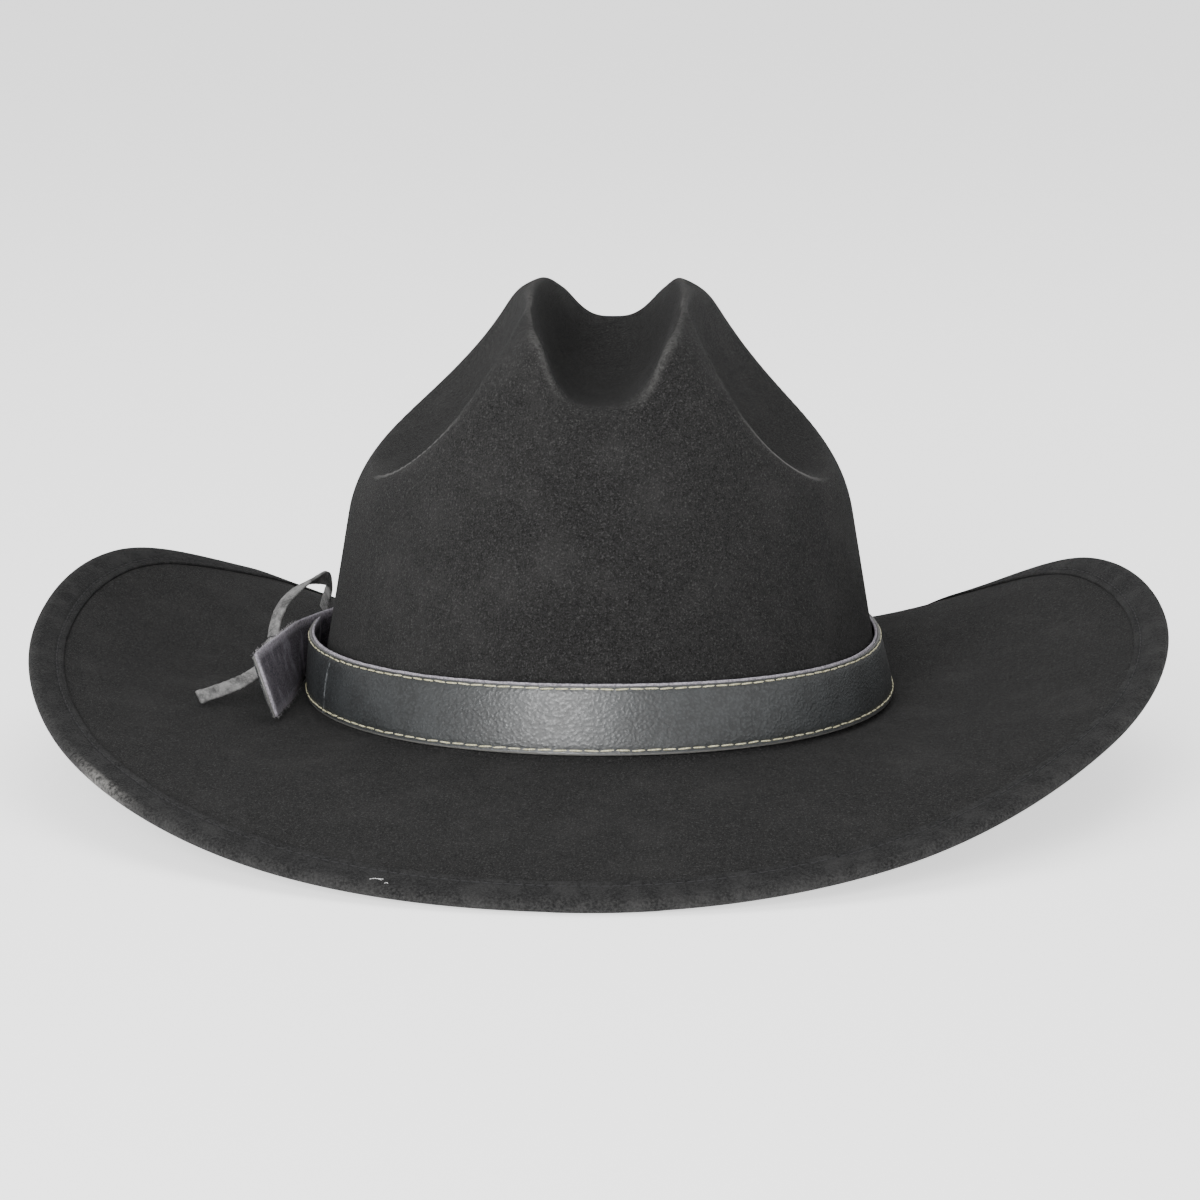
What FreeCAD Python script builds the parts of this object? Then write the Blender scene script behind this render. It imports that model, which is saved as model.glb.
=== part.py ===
"""Western felt hat: a blocked wool-felt body with a wired, bound brim, a stitched two-layer
hat band tied with a lace at the wearer's right, and a leather sweatband inside the crown.

Millimetres, +Z up, front of the hat towards -Y, standing on the brim's front and back edges.
The angle "turn" runs round the hat from the front (0) over +X (90 degrees) to the back.
"""
import FreeCAD, Part
import Sketcher
import math
import os

V = FreeCAD.Vector
doc = FreeCAD.newDocument("cowboy_hat")
sheet = doc.addObject("Spreadsheet::Sheet", "Sizes")

SIZES = [
    # head opening and crown wall, outer face of the felt at the brim break
    ("crown_half_width", 90.0), ("crown_half_length", 108.0),
    ("wall_draft_side", 0.168), ("wall_draft_end", 0.16), ("wall_curve_end", 0.0009),
    ("break_front", 26.5), ("break_side", 23.3), ("break_radius", 3.5),
    ("middle_shift", 1.0), ("felt_thick", 2.8),
    # creased top
    ("ridge_height", 134.3), ("ridge_peak", -16.0), ("ridge_fall", 24.0), ("ridge_gap", 20.8),
    ("crest_blend", 9.5), ("wall_blend", 6.0), ("crown_lean", 2.6),
    ("crease_floor", 99.0), ("crease_front", 105.0), ("crease_back", 110.0), ("crease_rise", 27.0),
    ("crease_front_reach", 78.0), ("crease_back_reach", 72.0), ("crease_power", 2.4),
    ("fold_out", 25.3), ("shoulder_out", 80.5), ("shoulder_up", 68.0), ("side_bow", 0.0022),
    # dents in the two sides: depth, where their deepest place is and how far they reach from it
    ("dent_depth", 16.5), ("dent_edge", 3.0), ("dent_centre", -28.0), ("dent_ahead", 36.0),
    ("dent_behind", 80.0), ("dent_down", 0.43), ("dent_above", 0.405), ("dent_below", 0.42),
    # brim and its bound edge
    ("brim_half_length", 188.0), ("bind_width", 11.0), ("bind_half", 2.5), ("bind_thick", 0.95),
    ("felt_setback", 4.3), ("wire_radius", 0.8), ("wire_gap", 0.75), ("sleeve_radius", 1.15),
    ("sleeve_bore", 0.97), ("sleeve_length", 8.0), ("thread_thick", 0.45), ("thread_inset", 8.6),
    # hat band and its lace
    ("band_height", 21.0), ("band_lift", 1.8), ("face_thick", 1.0), ("backing_thick", 0.75),
    ("face_drop", 0.7), ("band_out_low", 3.7), ("band_out_high", -1.0), ("stitch_pitch", 4.6),
    ("stitch_length", 3.75), ("stitch_width", 0.7), ("stitch_deep", 0.45), ("stitch_lift", 0.25),
    ("stitch_inset", 1.5),
    ("lace_radius", 1.2), ("knot_wide", 2.6), ("knot_deep", 3.6), ("knot_tall", 3.4),
    # sweatband and the pieces on it
    ("sweat_height", 34.0), ("sweat_thick", 1.0), ("sweat_in_low", 4.4), ("sweat_in_high", 8.8),
    ("sweat_end_high", 9.7), ("reed_radius", 0.8), ("tape_thick", 0.4), ("tape_height", 9.0),
    ("seam_stitch_length", 3.0), ("seam_stitch_thick", 0.4),
    ("bow_width", 18.0), ("bow_height", 8.0), ("bow_waist", 2.6), ("bow_thick", 0.8),
    ("label_width", 24.0), ("label_height", 11.0), ("label_thick", 0.3), ("label_up", 17.0),
    ("seam_width", 10.0), ("seam_height", 21.0), ("seam_thick", 0.35),
]
for row, (alias, value) in enumerate(SIZES, start=1):
    sheet.set(f"A{row}", alias)
    sheet.set(f"B{row}", str(value))
    sheet.setAlias(f"B{row}", alias)
doc.recompute()


def size(alias):
    return float(sheet.get(alias))


SIZE = {alias: size(alias) for alias, _ in SIZES}
STATIONS = 96
CREASE_WEIGHT = 0.75
FULL_TURN = 2 * math.pi
# Where the rows of the crown lie: out from the crease's middle to its crest, from the crest
# down the slope to mid height, and down the wall.
CREASE_SHARES = [0.12, 0.24, 0.36, 0.48, 0.59, 0.69, 0.77, 0.84, 0.9, 0.95]
SLOPE_SHARES = [0.985, 0.965, 0.94, 0.91, 0.875, 0.84, 0.8, 0.76, 0.72, 0.68, 0.64, 0.6, 0.56, 0.52,
                0.47, 0.42, 0.37, 0.31, 0.25, 0.18, 0.1, 0.0]
WALL_HEIGHTS = [43, 36, 29, 22, 15, 9]
BRIM_ROWS = 14
SPANS_PER_FACE = 12

# Height of the felt's top at the brim edge against the angle from the front, in degrees.
EDGE_LEFT = [(0, 3.1), (30, 7.0), (60, 22.6), (90, 44.2), (115, 53.6), (135, 37.2),
             (150, 15.6), (165, 5.0), (180, 3.1)]
EDGE_RIGHT = [(0, 3.1), (30, 10.2), (60, 31.0), (90, 49.0), (115, 52.5), (135, 30.4),
              (150, 5.8), (165, 3.4), (180, 3.1)]
# Half width of the brim ellipse against the same angle.
WIDTH_LEFT = [(0, 181.0), (90, 181.5), (115, 182.5), (180, 181.0)]
WIDTH_RIGHT = [(0, 177.0), (45, 179.5), (90, 179.5), (115, 180.0), (180, 181.0)]


def smooth_max(first, second, blend):
    overlap = max(blend - abs(first - second), 0.0)
    return max(first, second) + overlap * overlap / (4 * blend)


def smooth_step(value, low, high):
    share = min(max((value - low) / (high - low), 0.0), 1.0)
    return share * share * (3 - 2 * share)


def through(points, angle):
    """Value at an angle on a smooth curve through (angle, value) points, level at both ends."""
    last = len(points) - 1
    index = max(i for i in range(last) if points[i][0] <= angle or i == 0)
    (a0, v0), (a1, v1) = points[index], points[index + 1]
    span = a1 - a0
    slope0 = 0.0
    slope1 = 0.0
    if index > 0:
        slope0 = (v1 - points[index - 1][1]) / (a1 - points[index - 1][0]) * span
    if index + 2 <= last:
        slope1 = (points[index + 2][1] - v0) / (points[index + 2][0] - a0) * span
    u = min((angle - a0) / span, 1.0)
    return ((2 * u**3 - 3 * u**2 + 1) * v0 + (u**3 - 2 * u**2 + u) * slope0
            + (3 * u**2 - 2 * u**3) * v1 + (u**3 - u**2) * slope1)


def by_side(left, right, turn):
    away = math.degrees(abs((turn + math.pi) % FULL_TURN - math.pi))
    return through(right if math.sin(turn) > 0 else left, away)


def break_height(turn):
    return SIZE["break_side"] + (SIZE["break_front"] - SIZE["break_side"]) * math.cos(turn) ** 2


def wall_axes(height):
    height = max(height, 0.0)
    across = SIZE["crown_half_width"] - SIZE["wall_draft_side"] * height
    along = (SIZE["crown_half_length"] - SIZE["wall_draft_end"] * height
             - SIZE["wall_curve_end"] * height ** 2)
    return across, along


def dent(down, fore):
    """Depth of a side dent at a share down the side slope and a distance along the crown."""
    down -= SIZE["dent_down"]
    fore -= SIZE["dent_centre"]
    far_down = down / SIZE["dent_above" if down < 0 else "dent_below"]
    far_along = fore / SIZE["dent_ahead" if fore < 0 else "dent_behind"]
    return smooth_max(0.0, SIZE["dent_depth"] * (1 - far_down ** 2 - far_along ** 2), SIZE["dent_edge"])


def crown_field(x, y, z):
    """Below zero inside the creased crown, above zero outside; z counts from the break."""
    x -= SIZE["crown_lean"] * smooth_step(z, 60, 130)
    across, along = wall_axes(z)
    wall = (math.hypot(x / across, y / along) - 1.0) * across
    run = SIZE["shoulder_out"] - SIZE["fold_out"]
    drop = SIZE["ridge_height"] - SIZE["shoulder_up"]
    slope = math.hypot(run, drop)
    out = abs(x) - SIZE["fold_out"]
    rise = z - SIZE["ridge_height"]
    side = (drop * (out + SIZE["side_bow"] * y * y) + run * rise) / slope
    side += dent((out * run - rise * drop) / slope ** 2, y)
    top = rise + ((y - SIZE["ridge_peak"]) / SIZE["ridge_fall"]) ** 2
    front_rise = SIZE["crease_front"] - SIZE["crease_floor"]
    back_rise = SIZE["crease_back"] - SIZE["crease_floor"]
    floor = (SIZE["crease_floor"] + front_rise * (max(-y, 0.0) / SIZE["crease_front_reach"]) ** 2
             + back_rise * (max(y, 0.0) / SIZE["crease_back_reach"]) ** 2)
    bank = (abs(x) / SIZE["ridge_gap"]) ** SIZE["crease_power"] * SIZE["crease_rise"]
    crease = (z - floor - bank) * CREASE_WEIGHT
    blend = SIZE["crest_blend"]
    return smooth_max(smooth_max(smooth_max(top, crease, blend), side, blend), wall, SIZE["wall_blend"])


MIDDLE = V(0, 0, 50.0)


def crossing(start, ray, step):
    """First point where a ray from inside the crown leaves it; start is above the break."""
    inside = 0.0
    while crown_field(*(start + ray * (inside + step))) < 0:
        inside += step
    outside = inside + step
    for _ in range(24):
        half = (inside + outside) / 2
        if crown_field(*(start + ray * half)) > 0:
            outside = half
        else:
            inside = half
    return start + ray * inside


def crest(turn):
    """Highest point of the crown on one line out from the middle of the crease."""
    run = V(22.0 * math.sin(turn), -65.0 * math.cos(turn), 0).normalize()
    step = 1.0
    heights = []
    while not heights or heights[-1] > SIZE["shoulder_up"]:
        heights.append(crossing(MIDDLE + run * (step * len(heights)), V(0, 0, 1), 4.0).z)
    best = max(range(1, len(heights) - 1), key=lambda i: heights[i])
    low, high = heights[best - 1] - heights[best], heights[best + 1] - heights[best]
    reach = step * (best + (low - high) / (2 * (low + high)))
    return crossing(MIDDLE + run * reach, V(0, 0, 1), 4.0)


def on_hat(point, turn):
    """A point counted from the break, moved to where the break lies on the standing hat."""
    settle = smooth_step(point.z, 0, 60)
    base = break_height(turn) * (1 - settle) + SIZE["break_side"] * settle
    return V(point.x + SIZE["middle_shift"], point.y, point.z + base)


def crown_rows(turn):
    """Points on the crown's outer face, above the break: down from the crease to its foot."""
    top = crest(turn)
    foot = V(SIZE["crown_half_width"] * math.sin(turn), -SIZE["crown_half_length"] * math.cos(turn), 0)
    row = [crossing(V(top.x * share, top.y * share, MIDDLE.z), V(0, 0, 1), 4.0)
           for share in CREASE_SHARES]
    row.append(top)
    for share in SLOPE_SHARES:
        ray = ((top - MIDDLE).normalize() * share + V(foot).normalize() * (1 - share)).normalize()
        row.append(crossing(MIDDLE, ray, 4.0))
    for height in WALL_HEIGHTS:
        row.append(crossing(V(0, 0, height), V(foot).normalize(), 4.0))
    return row


def crown_normal(point):
    """Outward direction of the crown's face at a point on it."""
    step = 0.4
    x, y, z = point
    normal = V(crown_field(x + step, y, z) - crown_field(x - step, y, z),
               crown_field(x, y + step, z) - crown_field(x, y - step, z),
               crown_field(x, y, z + step) - crown_field(x, y, z - step))
    return normal.normalize()


def brim_point(turn, share):
    """Point of the brim's top face: share 0 at the break, 1 at the outer edge."""
    half_width = by_side(WIDTH_LEFT, WIDTH_RIGHT, turn)
    x = math.sin(turn) * (SIZE["crown_half_width"] + share * (half_width - SIZE["crown_half_width"]))
    y = -math.cos(turn) * (SIZE["crown_half_length"]
                           + share * (SIZE["brim_half_length"] - SIZE["crown_half_length"]))
    sideways = math.sin(turn) ** 2
    curl = sideways * share ** 2 + (1 - sideways) * share ** 1.25
    base = break_height(turn)
    z = base + (by_side(EDGE_LEFT, EDGE_RIGHT, turn) - base) * curl
    return V(x + SIZE["middle_shift"], y, z)


def turns(count=STATIONS):
    return [FULL_TURN * i / count for i in range(count)]


# ---- surfaces and solids from rows of points ----------------------------------------------

def knots(count, closed, degree):
    """Multiplicities and knots of a uniform B-spline with this many poles."""
    if closed:
        return [1] * (count + 1), list(range(count + 1))
    inner = count - degree - 1
    return [degree + 1] + [1] * inner + [degree + 1], list(range(inner + 2))


def whole_surface(rows, closed_u, closed_v, degree_v=3):
    surf = Part.BSplineSurface()
    mult_u, knot_u = knots(len(rows), closed_u, 3)
    mult_v, knot_v = knots(len(rows[0]), closed_v, degree_v)
    surf.buildFromPolesMultsKnots(rows, mult_u, mult_v, knot_u, knot_v, closed_u, closed_v, 3, degree_v)
    return surf


def surface(rows, closed_u, closed_v, degree_v=3):
    return whole_surface(rows, closed_u, closed_v, degree_v).toShape()


def end_rings(skin):
    """The closed edges of a tube-like skin that aren't its seam, the shortest first."""
    rings = [edge for edge in skin.Edges if edge.isClosed() and not edge.isSeam(skin)]
    return sorted(rings, key=lambda ring: ring.Length)


def flat_end(ring):
    return Part.Face(Part.Wire([ring]))


def patch(corners):
    """Four-cornered face between straight edges; corners in order round it."""
    a, b, c, d = corners
    surf = Part.BSplineSurface()
    surf.buildFromPolesMultsKnots([[a, b], [d, c]], [2, 2], [2, 2], [0, 1], [0, 1], False, False, 1, 1)
    return surf.toShape()


def sewn(faces):
    shape = Part.makeCompound(faces)
    shape.sewShape()
    solid = Part.makeSolid(shape.Shells[0])
    if solid.Volume < 0:
        solid.reverse()
    return solid


def band_solid(sections, closed):
    """Solid of four-sided cross-sections, ruled between their corners along the stations."""
    faces = []
    for side in range(4):
        rows = [[section[side], section[(side + 1) % 4]] for section in sections]
        faces.append(surface(rows, closed, False, degree_v=1))
    if not closed:
        faces += [patch(sections[0]), patch(sections[-1])]
    return sewn(faces)


def round_section(centre, out, up, radius, count=8):
    """Poles of a round cross-section; a closed cubic runs 3% inside its poles at 8 of them."""
    fit = radius * 6 / (4 + 2 * math.cos(FULL_TURN / count))
    angles = [FULL_TURN * i / count for i in range(count)]
    return [centre + out * (fit * math.cos(angle)) + up * (fit * math.sin(angle)) for angle in angles]


def tube_solid(sections, closed):
    if closed:
        return Part.makeSolid(Part.Shell([surface(sections, True, True)]))
    skin = surface(sections, False, True)
    return sewn([skin] + [flat_end(ring) for ring in end_rings(skin)])


def feature(name, shape):
    piece = doc.addObject("Part::Feature", name)
    piece.Shape = shape
    piece.Label = name
    return piece


# ---- felt body: crown and brim blocked from one piece of felt -----------------------------

def edge_frame(turn):
    """Outermost middle point of the bound brim edge, its outward and its upward direction."""
    step = 0.01
    along = brim_point(turn + step, 1) - brim_point(turn - step, 1)
    along.normalize()
    out = brim_point(turn, 1) - brim_point(turn, 0.96)
    up = out.cross(along)
    up.normalize()
    if up.z < 0:
        up = up * -1
    out = along.cross(up)
    if out.dot(brim_point(turn, 1) - brim_point(turn, 0)) < 0:
        out = out * -1
    return brim_point(turn, 1) - up * (SIZE["felt_thick"] / 2), out, up


def brim_normal(turn, share):
    """Upward direction of the brim's top face."""
    step = 0.01
    around = brim_point(turn + step, share) - brim_point(turn - step, share)
    outward = brim_point(turn, share + step) - brim_point(turn, share - step)
    normal = outward.cross(around).normalize()
    return normal if normal.z > 0 else normal * -1


def evened(normals, passes=13):
    """The same directions turning more slowly, and shorter where they turn: felt is pinched
    thin in a fold, and its inner face doesn't cross itself there."""
    last = len(normals) - 1
    for _ in range(passes):
        normals = [(normals[max(i - 1, 0)] + normals[i] * 2 + normals[min(i + 1, last)]) / 4
                   for i in range(last + 1)]
    return normals


def felt_rows(turn):
    """Points of the felt's outer face with its directions, from the crease to the brim's edge."""
    points = crown_rows(turn)
    normals = evened([crown_normal(point) for point in points])
    row = list(zip([on_hat(point, turn) for point in points], normals))
    foot = brim_point(turn, 0)
    radial = V(math.sin(turn), -math.cos(turn), 0)
    radius = SIZE["break_radius"]
    corner = radius * (1 - math.sqrt(0.5))
    row.append((foot + V(0, 0, radius + 1.2), radial))
    row.append((foot + (radial + V(0, 0, 1)) * corner, (radial + V(0, 0, 1)).normalize()))
    width = (brim_point(turn, 1) - foot).Length
    start = (radius + 1.2) / width
    end = 1 - SIZE["felt_setback"] / width
    for i in range(BRIM_ROWS + 1):
        share = start + (end - start) * i / BRIM_ROWS
        row.append((brim_point(turn, share), brim_normal(turn, share)))
    return row


def sharpened(rows):
    """Poles whose closed cubic surface runs close to the given points, not inside them."""
    count, width = len(rows), len(rows[0])
    poles = []
    for i in range(count):
        line = []
        for j in range(width):
            here = rows[i][j]
            low, high = rows[i][max(j - 1, 0)], rows[i][min(j + 1, width - 1)]
            before, after = rows[i - 1][j], rows[(i + 1) % count][j]
            line.append(here + (here * 4 - low - high - before - after) / 6)
        poles.append(line)
    return poles


rows = [felt_rows(turn) for turn in turns()]
outer = sharpened([[point for point, _ in row] for row in rows])
inner = [[point - normal * SIZE["felt_thick"] for point, normal in row] for row in rows]
cap_height = sum(row[0][0].z for row in rows) / STATIONS
poles = [over + list(reversed(under)) for over, under in zip(outer, inner)]
for line in poles:
    line[0] = V(line[0].x, line[0].y, cap_height)
    line[-1] = V(line[-1].x, line[-1].y, cap_height - SIZE["felt_thick"])
spans = len(poles[0]) - 3
skins = []
for first in range(0, spans, SPANS_PER_FACE):
    face = whole_surface(poles, True, False)
    face.segment(0, STATIONS, first, min(first + SPANS_PER_FACE, spans))
    skins.append(face.toShape())
caps = [flat_end(end_rings(skin)[0]) for skin in (skins[0], skins[-1])]
feature("felt_body", sewn(skins + caps))


# ---- bound edge: folded strip, its thread, the wire inside it and the wire's sleeve --------

def fold_section(turn):
    """Poles round the folded strip's cross-section: over the edge outside, then back inside."""
    middle, out, up = edge_frame(turn)
    half, thick, width = SIZE["bind_half"], SIZE["bind_thick"], SIZE["bind_width"]
    room = half - thick
    outside = [(-width, half), (-0.68 * width, half), (-0.36 * width, half),
               (-1.6, 0.98 * half), (-0.1, 0.48 * half)]
    inside = [(-0.1 - thick, 0.4 * room), (-2.1, 0.97 * room), (-0.36 * width, room),
              (-0.68 * width, room), (-width, room), (-width - 0.3, (half + room) / 2)]
    loop = outside + [(x, -y) for x, y in reversed(outside)]
    loop += [(x, -y) for x, y in reversed(inside)] + inside
    return [middle + out * x + up * y for x, y in loop]


fold = surface([fold_section(turn) for turn in turns()], True, True)
feature("brim_binding", Part.makeSolid(Part.Shell([fold])))


def wire_section(turn):
    middle, out, up = edge_frame(turn)
    return round_section(middle - out * SIZE["bind_half"], out, up, SIZE["wire_radius"])


# The wire is one open length whose two ends meet, a little apart, inside the sleeve at the back.
half_gap = SIZE["wire_gap"] / 2 / WIDTH_LEFT[-1][1]
wire_span = (FULL_TURN - 2 * half_gap) / STATIONS
wire_turns = [math.pi + half_gap + wire_span * i for i in range(STATIONS + 1)]
feature("brim_wire", tube_solid([wire_section(turn) for turn in wire_turns], False))


def thread_section(turn, side):
    """Corners of the sewing thread, which lies on the fold's upper (1) or lower (-1) flank."""
    middle, out, up = edge_frame(turn)
    half = SIZE["thread_thick"] / 2
    centre = middle - out * SIZE["thread_inset"] + up * (side * (SIZE["bind_half"] + half + 0.05))
    return [centre + out * (a * half) + up * (b * half) for a, b in ((-1, -1), (1, -1), (1, 1), (-1, 1))]


threads = [band_solid([thread_section(turn, side) for turn in turns()], True) for side in (1, -1)]
feature("binding_thread", Part.makeCompound(threads))


def body_sketch(name):
    """Empty body with a sketch on its own XY plane."""
    body = doc.addObject("PartDesign::Body", name)
    body.Label = name
    sketch = body.newObject("Sketcher::SketchObject", name + "_outline")
    plane = [item for item in body.Origin.OriginFeatures if item.Role == "XY_Plane"][0]
    sketch.AttachmentSupport = (plane, [""])
    sketch.MapMode = "FlatFace"
    return body, sketch


def pad(body, sketch, length):
    padded = body.newObject("PartDesign::Pad", body.Name + "_pad")
    padded.Profile = sketch
    padded.setExpression("Length", length)
    sketch.Visibility = False
    return padded


def bind(sketch, constraint, alias):
    """Add a size constraint whose value follows a cell of the sheet."""
    sketch.addConstraint(constraint)
    sketch.setExpression(f"Constraints[{sketch.ConstraintCount - 1}]", f"Sizes.{alias}")


def circle(sketch, radius):
    index = sketch.addGeometry(Part.Circle(V(0, 0, 0), V(0, 0, 1), size(radius)), False)
    sketch.addConstraint(Sketcher.Constraint("Coincident", index, 3, -1, 1))
    bind(sketch, Sketcher.Constraint("Radius", index, size(radius)), radius)


back_middle, back_out, back_up = edge_frame(math.pi)
sleeve, sleeve_sketch = body_sketch("wire_sleeve")
circle(sleeve_sketch, "sleeve_radius")
circle(sleeve_sketch, "sleeve_bore")
pad(sleeve, sleeve_sketch, "Sizes.sleeve_length")
centre = back_middle - back_out * SIZE["bind_half"]
sleeve.Placement = FreeCAD.Placement(centre - V(SIZE["sleeve_length"] / 2, 0, 0),
                                     FreeCAD.Rotation(V(0, 1, 0), 90))


# ---- hat band: leather face on a backing, two rows of saddle stitches ----------------------

def band_edges(turn):
    """Low and high point of the band's outer face where it lies round the crown."""
    share = smooth_step(-math.degrees(turn), 40, 92)
    low_out = SIZE["band_out_low"] + 0.6 * share
    high_out = SIZE["band_out_high"] + 4.2 * share
    sin, cos = math.sin(turn), math.cos(turn)
    across, along = SIZE["crown_half_width"], SIZE["crown_half_length"]
    z = break_height(turn) + SIZE["band_lift"]
    tall = SIZE["band_height"] * (1 - 0.085 * sin ** 2)
    low = V(sin * (across + low_out) + SIZE["middle_shift"], -cos * (along + low_out - 0.6), z)
    high = V(sin * (across + high_out) + SIZE["middle_shift"], -cos * (along + high_out + 0.3), z + tall)
    return low, high


# Where the far end leaves the crown, passes outside the near end and runs on forward to its
# tip over the brim: low and high point of its outer face.
FAR_END = [
    (V(-92.0, 30.0, 25.0), V(-88.0, 30.0, 44.4)),
    (V(-95.3, 16.0, 25.0), V(-94.0, 15.0, 44.7)),
    (V(-96.4, 2.0, 25.1), V(-98.0, 2.0, 45.0)),
    (V(-96.6, -13.0, 25.2), V(-100.2, -12.0, 45.2)),
    (V(-97.3, -28.0, 25.3), V(-102.6, -26.0, 45.2)),
    (V(-98.4, -41.0, 25.5), V(-104.8, -38.5, 45.1)),
    (V(-99.6, -53.5, 25.8), V(-106.4, -50.0, 45.0)),
]


def band_path():
    """Low and high points along the whole band, from its hidden near end to its free tip."""
    start, stop, step = -97.0, 246.0, 3.5
    count = int((stop - start) / step)
    wrapped = [band_edges(math.radians(start + step * i)) for i in range(count + 1)]
    return wrapped + FAR_END


BAND = band_path()


def band_sides(index):
    """The outward direction at a station of the band, square to its height and its run."""
    before, after = BAND[max(index - 1, 0)], BAND[min(index + 1, len(BAND) - 1)]
    low, high = BAND[index]
    along = (after[0] + after[1]) - (before[0] + before[1])
    out = along.cross(high - low)
    out.normalize()
    return out


def band_layer(near, far, drop=0.0):
    """One layer of the band between two depths behind its outer face, its top edge lower by drop."""
    sections = []
    for i, (low, high) in enumerate(BAND):
        out = band_sides(i)
        top = high - (high - low).normalize() * drop
        sections.append([low - out * near, top - out * near, top - out * far, low - out * far])
    return band_solid(sections, False)


feature("band_face", band_layer(0.0, SIZE["face_thick"], SIZE["face_drop"]))
backing_start = SIZE["face_thick"] + 0.02
feature("band_backing", band_layer(backing_start, backing_start + SIZE["backing_thick"]))


def stitch_row(level):
    """Separate stitches lying on the face along a line at this share of the band's height."""
    line = [low + (high - low) * level for low, high in BAND]
    pieces = []
    travelled, due = 0.0, SIZE["stitch_pitch"]
    for i in range(len(line) - 1):
        leg = line[i + 1] - line[i]
        along = V(leg).normalize()
        up = (BAND[i][1] - BAND[i][0]).normalize()
        out = along.cross(up).normalize()
        up = out.cross(along)
        while due < travelled + leg.Length:
            spot = line[i] + along * (due - travelled)
            box = Part.makeBox(SIZE["stitch_length"], SIZE["stitch_width"], SIZE["stitch_deep"],
                               V(-SIZE["stitch_length"] / 2, -SIZE["stitch_width"] / 2, SIZE["stitch_lift"]))
            turn = FreeCAD.Rotation(along, up, out, "XYZ")
            box.Placement = FreeCAD.Placement(spot, turn)
            pieces.append(box)
            due += SIZE["stitch_pitch"]
        travelled += leg.Length
    return Part.makeCompound(pieces)


inset = SIZE["stitch_inset"] / SIZE["band_height"]
feature("band_stitches_lower", stitch_row(inset))
feature("band_stitches_upper", stitch_row(1 - inset))


# ---- lace: a knot on the outside of the far end, its hanging tail and its loop --------------

TAIL = [V(-103.0, -15.2, 36.4), V(-107.6, -20.4, 34.0), V(-115.6, -27.4, 31.4), V(-126.2, -34.0, 30.0)]
LOOP = [V(-103.2, -9.8, 42.6), V(-102.8, -5.6, 47.6), V(-99.6, 0.2, 53.0), V(-94.6, 8.6, 56.2),
        V(-89.8, 19.4, 56.4), V(-87.6, 29.6, 53.0), V(-89.6, 38.0, 47.2), V(-91.4, 41.6, 41.0)]


def cord_solid(points, radius, name):
    """Round tube along straight runs joined by tangent arcs as large as the runs allow."""
    edges, start, radii = [], points[0], []
    for before, corner, after in zip(points, points[1:], points[2:]):
        back, ahead = (before - corner), (after - corner)
        shorter = min(back.Length, ahead.Length)
        angle = math.pi - back.getAngle(ahead)
        cut = 0.45 * shorter
        radii.append(round(cut / math.tan(angle / 2), 1))
        back.normalize()
        ahead.normalize()
        first, last = corner + back * cut, corner + ahead * cut
        bulge = cut / math.tan(angle / 2) * (1 / math.cos(angle / 2) - 1)
        middle = corner + (back + ahead).normalize() * bulge
        edges += [Part.LineSegment(start, first).toShape(), Part.Arc(first, middle, last).toShape()]
        start = last
    edges.append(Part.LineSegment(start, points[-1]).toShape())
    path = Part.Wire(edges)
    ring = Part.makeCircle(radius, points[0], points[1] - points[0])
    tube = path.makePipeShell([Part.Wire([ring])], True, True)
    expected = math.pi * radius ** 2 * path.Length
    print(f"{name}: length {path.Length:.1f}, radii {radii}, volume {tube.Volume:.1f} of {expected:.1f}")
    return tube


feature("lace_tail", cord_solid(TAIL, SIZE["lace_radius"], "lace_tail"))
feature("lace_loop", cord_solid(LOOP, SIZE["lace_radius"], "lace_loop"))
knot = doc.addObject("Part::Ellipsoid", "lace_knot")
knot.Label = "lace_knot"
knot.setExpression("Radius1", "Sizes.knot_tall")
knot.setExpression("Radius2", "Sizes.knot_wide")
knot.setExpression("Radius3", "Sizes.knot_deep")
knot.Placement = FreeCAD.Placement(V(-102.6, -12.0, 38.2), FreeCAD.Rotation(V(0, 0, 1), 0))


# ---- inside the crown: sweatband, reed, reed tape and stitches -----------------------------

def inside_ring(turn, in_side, in_end, height):
    """Point at a distance inside the crown's outer face at the break and a height over it."""
    x = math.sin(turn) * (SIZE["crown_half_width"] - in_side)
    y = -math.cos(turn) * (SIZE["crown_half_length"] - in_end)
    return V(x + SIZE["middle_shift"], y, break_height(turn) + height)


SWEAT_LOW = -SIZE["felt_thick"] + 0.4


def sweat_inset(height, end=False):
    """How far inside the crown's face the sweatband's outer side lies, at the side or the end."""
    share = (height - SWEAT_LOW) / SIZE["sweat_height"]
    top = SIZE["sweat_end_high"] if end else SIZE["sweat_in_high"]
    return SIZE["sweat_in_low"] + (top - SIZE["sweat_in_low"]) * share


def lining_band(depth, thick, low, high, turns_taken=None):
    """Band parallel to the sweatband, this deep behind its outer side (minus: outside).

    It goes all the way round, or only along the turns given.
    """
    sections = []
    for turn in turns_taken or turns():
        corners = []
        for height, extra in ((low, depth), (high, depth), (high, depth + thick), (low, depth + thick)):
            side, end = sweat_inset(height) + extra, sweat_inset(height, True) + extra
            corners.append(inside_ring(turn, side, end, height))
        sections.append(corners)
    return band_solid(sections, turns_taken is None)


sweat_high = SWEAT_LOW + SIZE["sweat_height"]
feature("sweatband", lining_band(0.0, SIZE["sweat_thick"], SWEAT_LOW, sweat_high))
feature("reed_tape", lining_band(-0.7, SIZE["tape_thick"], SWEAT_LOW + 0.2, SWEAT_LOW + SIZE["tape_height"]))

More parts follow.
